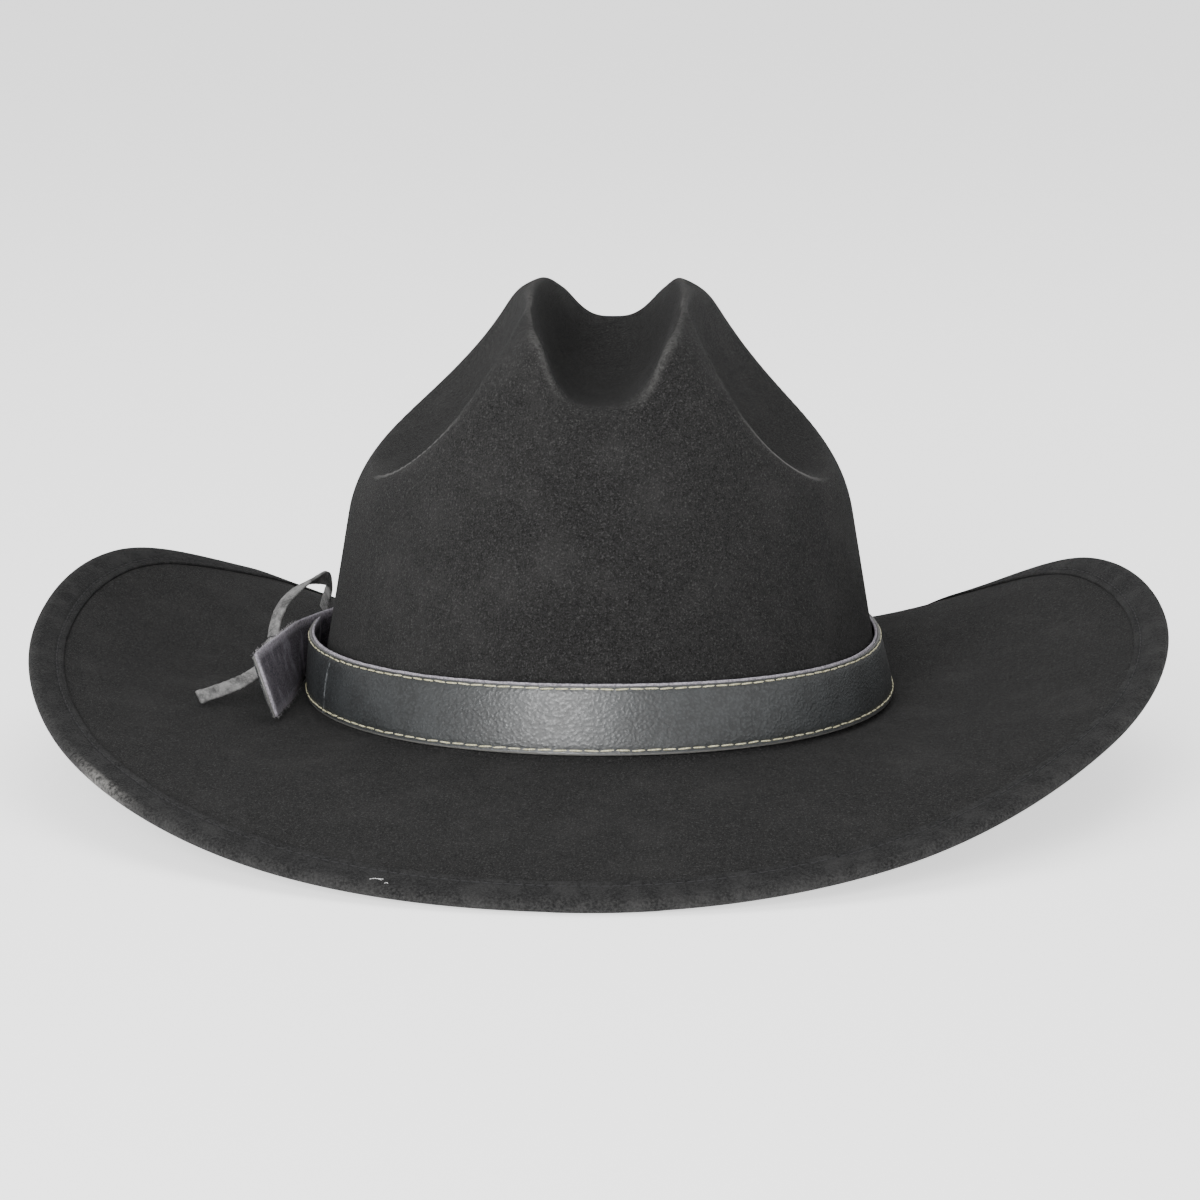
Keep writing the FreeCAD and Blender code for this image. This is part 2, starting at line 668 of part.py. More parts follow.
reed_sections = []
for turn in turns():
    middle = inside_ring(turn, SIZE["sweat_in_low"] + 0.4, SIZE["sweat_in_low"] + 0.4, SWEAT_LOW - 0.95)
    radial = V(math.sin(turn), -math.cos(turn), 0)
    reed_sections.append(round_section(middle, radial, V(0, 0, 1), SIZE["reed_radius"]))
feature("sweatband_reed", tube_solid(reed_sections, True))

seam_stitches = []
stitch_depth = SIZE["sweat_in_low"] + SIZE["sweat_thick"] + 0.8
for turn in turns(120):
    spot = inside_ring(turn, stitch_depth, stitch_depth, SWEAT_LOW + 3.0)
    long, thick = SIZE["seam_stitch_length"], SIZE["seam_stitch_thick"]
    box = Part.makeBox(long, thick, thick, V(-long / 2, -thick / 2, -thick / 2))
    box.Placement = FreeCAD.Placement(spot, FreeCAD.Rotation(V(0, 0, 1), math.degrees(turn)))
    seam_stitches.append(box)
feature("sweatband_stitches", Part.makeCompound(seam_stitches))


def turns_at_back(width):
    """Stations that cover this width across the middle of the sweatband's back."""
    half = width / 2 / (SIZE["crown_half_width"] - SIZE["sweat_in_high"])
    return [math.pi - half + half * i / 4 for i in range(9)]


label_low = SWEAT_LOW + SIZE["label_up"]
feature("size_label", lining_band(SIZE["sweat_thick"] + 0.1, SIZE["label_thick"], label_low,
                                  label_low + SIZE["label_height"], turns_at_back(SIZE["label_width"])))
seam_low = SWEAT_LOW + SIZE["tape_height"] + 0.8
feature("sweatband_seam_tape", lining_band(-SIZE["seam_thick"] - 0.1, SIZE["seam_thick"], seam_low,
                                           seam_low + SIZE["seam_height"],
                                           turns_at_back(SIZE["seam_width"])))

bow, bow_sketch = body_sketch("sweatband_bow")
half_w, half_h, waist = SIZE["bow_width"] / 2, SIZE["bow_height"] / 2, SIZE["bow_waist"] / 2
bow_corners = [V(-half_w, -half_h, 0), V(0, -waist, 0), V(half_w, -half_h, 0),
               V(half_w, half_h, 0), V(0, waist, 0), V(-half_w, half_h, 0)]
for i in range(6):
    bow_sketch.addGeometry(Part.LineSegment(bow_corners[i], bow_corners[(i + 1) % 6]), False)
for i in range(6):
    bow_sketch.addConstraint(Sketcher.Constraint("Coincident", i, 2, (i + 1) % 6, 1))
for line in (2, 5):
    bow_sketch.addConstraint(Sketcher.Constraint("Vertical", line))
bow_sketch.addConstraint(Sketcher.Constraint("Symmetric", 0, 1, 2, 2, -1, 1))
bow_sketch.addConstraint(Sketcher.Constraint("Symmetric", 0, 2, 3, 2, -1, 1))
for kind, first, last, alias in (("DistanceY", (2, 1), (2, 2), "bow_height"),
                                 ("DistanceX", (0, 1), (2, 1), "bow_width"),
                                 ("DistanceY", (0, 2), (3, 2), "bow_waist")):
    bind(bow_sketch, Sketcher.Constraint(kind, *first, *last, size(alias)), alias)
pad(bow, bow_sketch, "Sizes.bow_thick")
lean = math.degrees(math.atan2(SIZE["sweat_end_high"] - SIZE["sweat_in_low"], SIZE["sweat_height"]))
bow_height = 8.0
bow_depth = sweat_inset(bow_height, True) + SIZE["sweat_thick"] + 0.9
bow.Placement = FreeCAD.Placement(inside_ring(math.pi, 0, bow_depth, bow_height),
                                  FreeCAD.Rotation(V(1, 0, 0), 90 + lean))

doc.recompute()

# ---- check every object and write one file for each piece ----------------------------------

for item in doc.Objects:
    if "Invalid" in item.State or "Error" in item.State:
        raise SystemExit(f"{item.Name} failed: {item.State}")
pieces = [item for item in doc.Objects
          if item.TypeId in ("Part::Feature", "PartDesign::Body", "Part::Ellipsoid")]
os.makedirs("parts", exist_ok=True)
for piece in pieces:
    shape = piece.Shape
    if shape.isNull() or not shape.isValid() or shape.Volume <= 0:
        raise SystemExit(f"{piece.Label} has no sound shape")
    box = shape.BoundBox
    print(f"{piece.Label}: {len(shape.Solids)} solid(s), {shape.Volume / 1000:.2f} cm3")
    extent = (box.XMin, box.YMin, box.ZMin, box.XMax, box.YMax, box.ZMax)
    print("    box", [round(value, 2) for value in extent])
    shape.exportStep(f"parts/{piece.Label}.step")
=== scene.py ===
import math
import random

import bmesh
import bpy
import numpy as np
from mathutils import Matrix, Vector, noise


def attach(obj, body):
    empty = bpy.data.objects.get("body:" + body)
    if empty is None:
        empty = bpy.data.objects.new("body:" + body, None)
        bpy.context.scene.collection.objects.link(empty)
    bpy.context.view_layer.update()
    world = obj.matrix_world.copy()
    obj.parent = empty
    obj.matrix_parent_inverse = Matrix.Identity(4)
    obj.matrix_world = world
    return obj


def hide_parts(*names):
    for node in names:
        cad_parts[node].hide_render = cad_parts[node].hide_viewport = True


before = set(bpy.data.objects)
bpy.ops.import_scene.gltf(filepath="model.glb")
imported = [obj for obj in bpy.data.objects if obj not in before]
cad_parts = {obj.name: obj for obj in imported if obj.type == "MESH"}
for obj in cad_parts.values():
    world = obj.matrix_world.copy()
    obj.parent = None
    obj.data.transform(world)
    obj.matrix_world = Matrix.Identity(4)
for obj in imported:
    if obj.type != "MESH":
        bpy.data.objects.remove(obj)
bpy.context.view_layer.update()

# A black western hat, looks only: blocked wool felt with a wired and bound brim, a stitched
# two-layer band tied with a suede lace at the wearer's right, and a leather sweatband inside.
# Front is -Y. Hat measures are written in millimetres and become metres in each mesh.
MM = 0.001
FULL_TURN = 2 * math.pi


# ---- Camera, light and floor ----
# A product table: one broad softbox at the front left, a weaker one at the right and one over
# the hat, on a faintly glowing white floor that runs out of sight in a white room.

def placed(name, data):
    obj = bpy.data.objects.new(name, data)
    bpy.context.scene.collection.objects.link(obj)
    return obj


def looking_at(obj, place, target):
    obj.location = place
    obj.rotation_euler = (Vector(target) - Vector(place)).to_track_quat("-Z", "Y").to_euler()


def camera_at(target, azimuth, elevation, distance, lens):
    data = bpy.data.cameras.new("camera")
    data.lens = lens
    data.sensor_width = 36
    data.clip_start = 0.01
    obj = placed("camera", data)
    away = Vector((math.sin(azimuth) * math.cos(elevation), -math.cos(azimuth) * math.cos(elevation),
                   math.sin(elevation)))
    looking_at(obj, Vector(target) + away * distance, target)
    bpy.context.scene.camera = obj


def softbox(name, place, target, width, height, power):
    data = bpy.data.lights.new(name, "AREA")
    data.shape = "RECTANGLE"
    data.size = width
    data.size_y = height
    data.energy = power
    looking_at(placed(name, data), place, target)


camera_at((0.0007, 0, 0.053), math.radians(1.5), math.radians(11.5), 1.5, 140.85)
softbox("key_softbox", (-0.45, -1.55, 0.56), (-0.02, -0.1, 0.06), 0.8, 0.8, 40)
softbox("side_softbox", (1.5, -0.6, 0.7), (0, 0, 0.06), 1.0, 1.0, 3)
softbox("top_softbox", (0.1, 0.35, 1.5), (0, 0, 0.08), 1.4, 1.4, 15)

world = bpy.data.worlds.new("white_room")
world.use_nodes = True
world.node_tree.nodes["Background"].inputs["Color"].default_value = (1, 1, 1, 1)
world.node_tree.nodes["Background"].inputs["Strength"].default_value = 0.62
bpy.context.scene.world = world


class Finish:
    """A Principled material whose texture nodes are added by short calls."""

    def __init__(self, name, **sockets):
        self.material = bpy.data.materials.new(name)
        self.material.use_nodes = True
        self.nodes = self.material.node_tree.nodes
        self.links = self.material.node_tree.links
        self.shader = self.nodes["Principled BSDF"]
        self.place = self.nodes.new("ShaderNodeTexCoord").outputs["Object"]
        for socket, value in sockets.items():
            self.shader.inputs[socket.replace("_", " ")].default_value = value

    def add(self, kind, inputs, **settings):
        node = self.nodes.new(kind)
        for key, value in settings.items():
            setattr(node, key, value)
        for key, value in inputs.items():
            if isinstance(value, bpy.types.NodeSocket):
                self.links.new(value, node.inputs[key])
            elif value is not None:
                node.inputs[key].default_value = value
        return node

    def noise(self, scale, detail=2.0, roughness=0.5, vector=None):
        values = {"Vector": vector or self.place, "Scale": scale, "Detail": detail, "Roughness": roughness}
        return self.add("ShaderNodeTexNoise", values).outputs["Fac"]

    def cells(self, scale, vector=None):
        values = {"Vector": vector or self.place, "Scale": scale}
        return self.add("ShaderNodeTexVoronoi", values, feature="SMOOTH_F1").outputs["Distance"]

    def stretched(self, x, y, z, vector=None):
        values = {"Vector": vector or self.place, "Scale": (x, y, z)}
        return self.add("ShaderNodeMapping", values).outputs["Vector"]

    def attribute(self, name):
        return self.add("ShaderNodeAttribute", {}, attribute_name=name).outputs["Fac"]

    def ramp(self, value, low, high, to_low=0.0, to_high=1.0):
        values = {"Value": value, "From Min": low, "From Max": high, "To Min": to_low, "To Max": to_high}
        return self.add("ShaderNodeMapRange", values, interpolation_type="SMOOTHSTEP").outputs["Result"]

    def math(self, kind, first, second=None):
        return self.add("ShaderNodeMath", {0: first, 1: second}, operation=kind).outputs[0]

    def mix(self, share, first, second):
        def colour(value):
            return value if isinstance(value, bpy.types.NodeSocket) else (*value, 1.0)
        values = {0: share, 6: colour(first), 7: colour(second)}
        return self.add("ShaderNodeMix", values, data_type="RGBA").outputs[2]

    def bump(self, height, strength, distance, normal=None):
        values = {"Height": height, "Strength": strength, "Distance": distance, "Normal": normal}
        return self.add("ShaderNodeBump", values).outputs["Normal"]

    def set(self, **sockets):
        for socket, value in sockets.items():
            self.links.new(value, self.shader.inputs[socket.replace("_", " ")])
        return self.material


floor_mesh = bmesh.new()
bmesh.ops.create_grid(floor_mesh, x_segments=8, y_segments=8, size=6)
floor_data = bpy.data.meshes.new("floor")
floor_mesh.to_mesh(floor_data)
floor = placed("floor", floor_data)
paper = Finish("floor_paper", Roughness=0.9, Emission_Color=(1, 1, 1, 1), Emission_Strength=1.2)
paper_tone = paper.mix(paper.noise(3), (0.93, 0.93, 0.93), (0.96, 0.96, 0.96))
floor_data.materials.append(paper.set(Base_Color=paper_tone))


# ---- Suede lace: hanging tail, loop and knot ----
# One flat strip of grey suede, under 5 mm wide, cut square at its end. It is knotted on the outside of
# the band's far end; the tail hangs over the brim and the loop goes up and behind the crown.

LACE_WIDE = 4.6
LACE_THICK = 1.3
TAIL = [(-103.0, -15.2, 36.4), (-107.2, -20.6, 33.2), (-114.4, -28.0, 30.2), (-124.4, -35.6, 28.4)]
LOOP = [(-103.2, -9.8, 42.6), (-102.8, -5.6, 47.6), (-99.6, 0.2, 53.0), (-94.6, 8.6, 56.2),
        (-89.8, 19.4, 56.4), (-87.6, 29.6, 53.0), (-89.6, 38.0, 47.2), (-91.4, 41.6, 41.0)]


def spline_points(route):
    """Points along the smooth curve that a route in millimetres controls, in metres."""
    data = bpy.data.curves.new("route", "CURVE")
    data.dimensions = "3D"
    data.resolution_u = 14
    spline = data.splines.new("NURBS")
    spline.points.add(len(route) - 1)
    for point, place in zip(spline.points, route):
        point.co = (*(Vector(place) * MM), 1.0)
    spline.order_u = 3
    spline.use_endpoint_u = True
    obj = bpy.data.objects.new("route", data)
    mesh = bpy.data.meshes.new_from_object(obj)
    points = [vertex.co.copy() for vertex in mesh.vertices]
    bpy.data.objects.remove(obj)
    bpy.data.curves.remove(data)
    bpy.data.meshes.remove(mesh)
    return points


def skin(rows, closed_along=False, closed_around=True, values=None):
    """Quad mesh laid through rows of points, one row for each station, with UVs in metres.

    values holds per-point numbers by attribute name, in the same rows as the points.
    """
    stations = len(rows) + (1 if closed_along else 0)
    width = len(rows[0]) + (1 if closed_around else 0)
    bm = bmesh.new()
    bmesh.ops.create_grid(bm, x_segments=width - 1, y_segments=stations - 1, size=1)
    uv = bm.loops.layers.uv.new("surface")
    layers = {name: bm.verts.layers.float.new(name) for name in values or {}}
    middle = len(rows[0]) // 2
    along = [0.0]
    for i in range(1, stations):
        step = rows[i % len(rows)][middle] - rows[i - 1][middle]
        along.append(along[-1] + step.length)
    across = [0.0]
    for j in range(1, width):
        across.append(across[-1] + (rows[0][j % len(rows[0])] - rows[0][j - 1]).length)
    spot = {}
    for vert in bm.verts:
        j = round((vert.co.x + 1) / 2 * (width - 1))
        i = round((vert.co.y + 1) / 2 * (stations - 1))
        spot[vert] = (i, j)
    for vert, (i, j) in spot.items():
        vert.co = rows[i % len(rows)][j % len(rows[0])]
        for name, layer in layers.items():
            vert[layer] = values[name][i % len(rows)][j % len(rows[0])]
    for face in bm.faces:
        face.smooth = True
        for loop in face.loops:
            i, j = spot[loop.vert]
            loop[uv].uv = (along[i], across[j])
    bmesh.ops.remove_doubles(bm, verts=bm.verts, dist=1e-6)
    return bm


def closed_ends(bm):
    rim = [edge for edge in bm.edges if edge.is_boundary]
    bmesh.ops.holes_fill(bm, edges=rim, sides=0)


def piece(name, bm, body, slot, material, *nodes):
    """Object made from a finished bmesh that rides a body and stands for CAD nodes."""
    bmesh.ops.recalc_face_normals(bm, faces=bm.faces)
    data = bpy.data.meshes.new(name)
    bm.to_mesh(data)
    bm.free()
    data.materials.append(material)
    obj = placed(name, data)
    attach(obj, body)
    if nodes:
        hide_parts(*nodes)
    return obj


def squarer(value, power):
    """A cosine or sine pushed out towards 1, which makes a round outline squarer."""
    return math.copysign(abs(value) ** power, value)


def lace_rows(points, flat_first, flat_last, seed):
    """Rounded flat cross-sections along the lace; the flat side turns between two directions."""
    rows = []
    rng = random.Random(seed)
    for i, point in enumerate(points):
        along = (points[min(i + 1, len(points) - 1)] - points[max(i - 1, 0)]).normalized()
        share = i / (len(points) - 1)
        flat = (Vector(flat_first) * (1 - share) + Vector(flat_last) * share)
        side = along.cross(flat).normalized()
        flat = side.cross(along).normalized()
        wide = LACE_WIDE / 2 * MM * (1 + 0.05 * rng.uniform(-1, 1))
        thick = LACE_THICK / 2 * MM * (1 + 0.08 * rng.uniform(-1, 1))
        ring = []
        for step in range(16):
            angle = FULL_TURN * step / 16
            ring.append(point + side * (wide * squarer(math.cos(angle), 0.5))
                        + flat * (thick * squarer(math.sin(angle), 0.6)))
        rows.append(ring)
    return rows


suede = Finish("grey_suede", Roughness=0.95, Specular_IOR_Level=0.15, Sheen_Weight=0.08,
               Sheen_Roughness=0.6)
suede_nap = suede.noise(1600, 4, 0.7)
suede_cloud = suede.noise(260, 3, 0.6)
suede_tone = suede.mix(suede.ramp(suede_cloud, 0.3, 0.7), (0.05, 0.0495, 0.0495), (0.2, 0.198, 0.195))
suede_tone = suede.mix(suede.ramp(suede_nap, 0.45, 0.8, 0, 0.5), suede_tone, (0.36, 0.355, 0.35))
lace_suede = suede.set(Base_Color=suede_tone, Normal=suede.bump(suede_nap, 0.7, 0.0006))


def lace(name, node, route, flat_first, flat_last, seed):
    points = spline_points(route)
    bm = skin(lace_rows(points, flat_first, flat_last, seed))
    closed_ends(bm)
    obj = piece(name, bm, "hat_band", "lace_suede", lace_suede, node)


lace("tail_lace", "lace_tail", TAIL, (-0.3, -0.8, 0.8), (-0.1, -1.0, 0.5), 11)
lace("loop_lace", "lace_loop", LOOP, (-0.7, -1.0, 0.1), (-0.7, -0.9, 0.5), 12)

# The knot: two turns of the same lace pulled down on each other.
KNOT_AT = Vector((-103.4, -12.0, 38.6)) * MM


def knot_turn(tilt, wide, tall, shift):
    """One closed turn of the lace, an oval ring of flat sections tilted over the knot."""
    rows = []
    lean = Matrix.Rotation(tilt, 3, "X")
    for step in range(28):
        angle = FULL_TURN * step / 28
        out = Vector((math.cos(angle), 0, math.sin(angle)))
        centre = Vector((out.x * wide, shift, out.z * tall)) * MM
        ring = []
        for turn in range(12):
            around = FULL_TURN * turn / 12
            flat = out * (0.75 * squarer(math.cos(around), 0.7))
            side = Vector((0, 1.75 * squarer(math.sin(around), 0.6), 0))
            ring.append(KNOT_AT + lean @ (centre + (flat + side) * MM))
        rows.append(ring)
    return rows


def joined(parts):
    """One mesh that holds all of these finished ones."""
    whole = bmesh.new()
    for part in parts:
        bmesh.ops.recalc_face_normals(part, faces=part.faces)
        spare = bpy.data.meshes.new("part")
        part.to_mesh(spare)
        part.free()
        whole.from_mesh(spare)
        bpy.data.meshes.remove(spare)
    return whole


TURNS = [(0.35, 1.9, 3.0, 0.6), (-0.75, 1.5, 2.5, -1.1)]
knot = [skin(knot_turn(*turn), closed_along=True) for turn in TURNS]
piece("knot_lace", joined(knot), "hat_band", "lace_suede", lace_suede, "lace_knot")


# ---- Felt body: crown and brim ----
# One piece of black wool felt, steamed and pulled over a block. The crown is pinched into a long
# crease with a dent at each side, and the brim is rolled up at the sides. Convex bends are painted paler,
# partly as rubbed wear and partly as a painted highlight, and the fold before each dent has a pale rubbed
# line.

HALF_WIDTH, HALF_LENGTH = 90.0, 108.0
SHIFT = 1.0
BREAK_FRONT, BREAK_SIDE, BREAK_RADIUS = 26.5, 23.3, 3.5
FELT = 2.8
RIDGE_TOP, RIDGE_PEAK, RIDGE_FALL, RIDGE_GAP = 134.3, -16.0, 24.0, 20.8
CREASE_FLOOR, CREASE_FRONT, CREASE_BACK, CREASE_RISE, CREASE_POWER = 99.0, 6.0, 11.0, 27.0, 2.9
FOLD_OUT, SHOULDER_OUT, SHOULDER_UP, SIDE_BOW = 25.3, 80.5, 68.0, 0.0022
DENT_DEPTH, DENT_EDGE, DENT_CENTRE, DENT_AHEAD, DENT_BEHIND = 16.5, 1.8, -28.0, 36.0, 80.0
DENT_DOWN, DENT_ABOVE, DENT_BELOW = 0.43, 0.405, 0.42
CREST_BLEND, WALL_BLEND, CREASE_WEIGHT = 9.5, 6.0, 0.75
MIDDLE_UP, FELT_SETBACK, BRIM_HALF_LENGTH = 50.0, 4.3, 188.0
# Height of the felt's top at the brim edge, and half the brim's width, against the angle from
# the front in degrees.
EDGE_LEFT = [(0, 3.1), (30, 7.0), (60, 22.6), (90, 44.2), (115, 53.6), (135, 37.2),
             (150, 15.6), (165, 5.0), (180, 3.1)]
EDGE_RIGHT = [(0, 3.1), (30, 10.2), (60, 31.0), (90, 49.0), (115, 52.5), (135, 30.4),
              (150, 5.8), (165, 3.4), (180, 3.1)]
WIDTH_LEFT = [(0, 181.0), (90, 181.5), (115, 182.5), (180, 181.0)]
WIDTH_RIGHT = [(0, 177.0), (45, 179.5), (90, 179.5), (115, 180.0), (180, 181.0)]


def smooth_max(first, second, blend):
    overlap = np.maximum(blend - np.abs(first - second), 0.0)
    return np.maximum(first, second) + overlap * overlap / (4 * blend)


def smooth_step(value, low, high):
    share = np.clip((value - low) / (high - low), 0.0, 1.0)
    return share * share * (3 - 2 * share)


def hermite(u, start, start_slope, end, end_slope):
    return ((2 * u**3 - 3 * u**2 + 1) * start + (u**3 - 2 * u**2 + u) * start_slope
            + (3 * u**2 - 2 * u**3) * end + (u**3 - u**2) * end_slope)


def through(points, angle):
    """Value at an angle on a smooth curve through (angle, value) points, level at both ends."""
    last = len(points) - 1
    index = max(i for i in range(last) if points[i][0] <= angle or i == 0)
    (a0, v0), (a1, v1) = points[index], points[index + 1]
    span = a1 - a0
    slope0 = slope1 = 0.0
    if index > 0:
        slope0 = (v1 - points[index - 1][1]) / (a1 - points[index - 1][0]) * span
    if index + 2 <= last:
        slope1 = (points[index + 2][1] - v0) / (points[index + 2][0] - a0) * span
    return hermite(min((angle - a0) / span, 1.0), v0, slope0, v1, slope1)


def by_side(left, right, turn):
    away = math.degrees(abs((turn + math.pi) % FULL_TURN - math.pi))
    return through(right if math.sin(turn) > 0 else left, away)


def break_height(turn):
    return BREAK_SIDE + (BREAK_FRONT - BREAK_SIDE) * np.cos(turn) ** 2


def crown_parts(p):
    """Fields of the creased top, the dented side and the wall, and how far p is inside a dent."""
    z = p[..., 2]
    y = p[..., 1]
    x = p[..., 0] - 2.6 * smooth_step(z, 60, 130)
    height = np.maximum(z, 0.0)
    across = HALF_WIDTH - 0.168 * height
    lengthwise = HALF_LENGTH - 0.16 * height - 0.0009 * height ** 2
    wall = (np.hypot(x / across, y / lengthwise) - 1.0) * across
    run = SHOULDER_OUT - FOLD_OUT
    drop = RIDGE_TOP - SHOULDER_UP
    slope = math.hypot(run, drop)
    out = np.abs(x) - FOLD_OUT
    rise = z - RIDGE_TOP
    side = (drop * (out + SIDE_BOW * y * y) + run * rise) / slope
    down = (out * run - rise * drop) / slope ** 2 - DENT_DOWN
    fore = y - DENT_CENTRE
    far_down = down / np.where(down < 0, DENT_ABOVE, DENT_BELOW)
    far_along = fore / np.where(fore < 0, DENT_AHEAD, DENT_BEHIND)
    bowl = 1 - far_down ** 2 - far_along ** 2
    side = side + smooth_max(0.0, DENT_DEPTH * bowl, DENT_EDGE)
    top = rise + ((y - RIDGE_PEAK) / RIDGE_FALL) ** 2
    floor_up = (CREASE_FLOOR + CREASE_FRONT * (np.maximum(-y, 0.0) / 78) ** 2
                + CREASE_BACK * (np.maximum(y, 0.0) / 72) ** 2)
    gap = RIDGE_GAP * (1 - 0.1 * smooth_step(y, -30, 50))
    bank = (np.abs(x) / gap) ** CREASE_POWER * CREASE_RISE
    crease = (z - floor_up - bank) * CREASE_WEIGHT
    return smooth_max(top, crease, CREST_BLEND), side, wall, bowl


def crown_field(p):
    """Below zero inside the creased crown, above zero outside; z counts from the break."""
    upper, side, wall, _ = crown_parts(p)
    return smooth_max(smooth_max(upper, side, CREST_BLEND), wall, WALL_BLEND)


def crossing(start, ray, reach=180.0):
    """Where rays from inside the crown leave it."""
    low = np.zeros(start.shape[:-1])
    high = np.full(start.shape[:-1], reach)
    for _ in range(26):
        half = (low + high) / 2
        outside = crown_field(start + ray * half[..., None]) > 0
        high = np.where(outside, half, high)
        low = np.where(outside, low, half)
    return start + ray * low[..., None]


def crests(turn):
    """Highest point of the crown on each line out from the middle of the crease."""
    run = np.stack([22.0 * np.sin(turn), -65.0 * np.cos(turn)], axis=-1)
    run /= np.linalg.norm(run, axis=-1, keepdims=True)
    reach = np.arange(0.0, 96.0, 0.5)
    start = np.zeros((len(turn), len(reach), 3))
    start[..., :2] = run[:, None, :] * reach[None, :, None]
    start[..., 2] = MIDDLE_UP
    inside = crown_field(start) < 0
    up = np.zeros_like(start)
    up[..., 2] = 1.0
    heights = np.where(inside, crossing(start, up)[..., 2], 0.0)
    best = np.clip(np.argmax(heights, axis=1), 1, len(reach) - 2)
    rows = np.arange(len(turn))
    low = heights[rows, best - 1] - heights[rows, best]
    high = heights[rows, best + 1] - heights[rows, best]
    far = 0.5 * (best + (low - high) / (2 * (low + high)))
    far = sum(np.roll(far, shift) * share for shift, share in zip(range(-2, 3), (1, 4, 6, 4, 1))) / 16
    start = np.zeros((len(turn), 3))
    start[:, :2] = run * far[:, None]
    start[:, 2] = MIDDLE_UP
    return crossing(start, up[:, 0])


def fold_line(p):
    """Distance on the crown from the fold in front of each dent, and how strongly it is creased."""
    upper, side, wall, bowl = crown_parts(p)
    creased = smooth_step(bowl, -0.1, 0.12) * (1 - smooth_step(p[..., 1], -44, -14))
    return np.clip(side - np.maximum(upper, wall), -9, 9), creased


def crown_gradient(p, step=0.4):
    normal = np.zeros_like(p)
    for axis in range(3):
        aside = np.zeros(3)
        aside[axis] = step
        normal[..., axis] = crown_field(p + aside) - crown_field(p - aside)
    return normal / np.linalg.norm(normal, axis=-1, keepdims=True)


def evened(normals, passes):
    """Directions along each row turning more slowly, and shorter where the felt is pinched."""
    for _ in range(passes):
        before = np.concatenate([normals[:, :1], normals[:, :-1]], axis=1)
        after = np.concatenate([normals[:, 1:], normals[:, -1:]], axis=1)
        normals = (before + normals * 2 + after) / 4
    return normals


def brim_point(turn, share):
    """Point of the brim's top face: share 0 at the break, 1 at the outer edge."""
    half_width = by_side(WIDTH_LEFT, WIDTH_RIGHT, turn)
    x = math.sin(turn) * (HALF_WIDTH + share * (half_width - HALF_WIDTH))
    y = -math.cos(turn) * (HALF_LENGTH + share * (BRIM_HALF_LENGTH - HALF_LENGTH))
    sideways = math.sin(turn) ** 2
    curl = sideways * share ** 2 + (1 - sideways) * share ** 1.25
    base = break_height(turn)
    z = base + (by_side(EDGE_LEFT, EDGE_RIGHT, turn) - base) * curl
    return Vector((x + SHIFT, y, z))


def brim_normal(turn, share):
    step = 0.01
    around = brim_point(turn + step, share) - brim_point(turn - step, share)
    outward = brim_point(turn, share + step) - brim_point(turn, share - step)
    normal = outward.cross(around).normalized()
    return normal if normal.z > 0 else -normal


FELT_STATIONS = 320
BRIM_ROWS = 32


def felt_faces():
    """Outer face from the crease's middle to the edge: points, depths, normals and fold values."""
    turn = np.arange(FELT_STATIONS) * FULL_TURN / FELT_STATIONS
    top = crests(turn)
    foot = np.stack([HALF_WIDTH * np.sin(turn), -HALF_LENGTH * np.cos(turn), 0 * turn], axis=-1)
    foot /= np.linalg.norm(foot, axis=-1, keepdims=True)
    middle = np.array([0, 0, MIDDLE_UP])
    crest_ray = (top - middle) / np.linalg.norm(top - middle, axis=-1, keepdims=True)
    rows = []
    for share in np.sin(np.linspace(0.0, 0.5, 25)[:-1] * math.pi) ** 0.9:
        start = np.stack([top[:, 0] * share, top[:, 1] * share, 0 * turn + MIDDLE_UP], axis=-1)
        rows.append(crossing(start, np.array([0, 0, 1.0]) + 0 * start))
    for share in 1 - np.linspace(0.0, 1.0, 62) ** 1.35:
        ray = crest_ray * share + foot * (1 - share)
        ray /= np.linalg.norm(ray, axis=-1, keepdims=True)
        rows.append(crossing(middle + 0 * ray, ray))
    for height in np.linspace(47.0, 8.0, 14):
        rows.append(crossing(np.array([0, 0, height]) + 0 * foot, foot))
    crown = np.stack(rows, axis=1)
    gradient = crown_gradient(crown)
    pinched = evened(gradient, 60)
    folds, creases = fold_line(crown)
    settle = smooth_step(crown[..., 2], 0, 60)
    crown[..., 2] += break_height(turn)[:, None] * (1 - settle) + BREAK_SIDE * settle
    crown[..., 0] += SHIFT
    outer, inward, facing = [], [], []
    for i, angle in enumerate(turn):
        line = [Vector(point) for point in crown[i]]
        back = [Vector(normal) * FELT for normal in pinched[i]]
        face = [Vector(normal) for normal in gradient[i]]
        base = brim_point(angle, 0)
        radial = Vector((math.sin(angle), -math.cos(angle), 0))
        for lean in (0.0, 0.25, 0.5, 0.75):
            swing = lean * math.pi / 2
            out = 1 - math.cos(swing)
            up = 1 - math.sin(swing)
            line.append(base + (radial * out + Vector((0, 0, 1)) * up) * BREAK_RADIUS)
            face.append(radial * math.cos(swing) + Vector((0, 0, 1)) * math.sin(swing))
            back.append(face[-1] * FELT)
        width = (brim_point(angle, 1) - base).length
        for share in np.linspace(BREAK_RADIUS / width, 1 - FELT_SETBACK / width, BRIM_ROWS):
            line.append(brim_point(angle, share))
            face.append(brim_normal(angle, share))
            back.append(face[-1] * FELT)
        outer.append(line)
        facing.append(face)
        inward.append(back)
    return outer, inward, facing, folds, creases


def bend(before, here, after, facing):
    """Curvature of a line at a point, per millimetre, above zero where the felt is folded out."""
    reach = (after - before).length / 2
    return (here * 2 - before - after).dot(facing) / max(reach, 0.05) ** 2


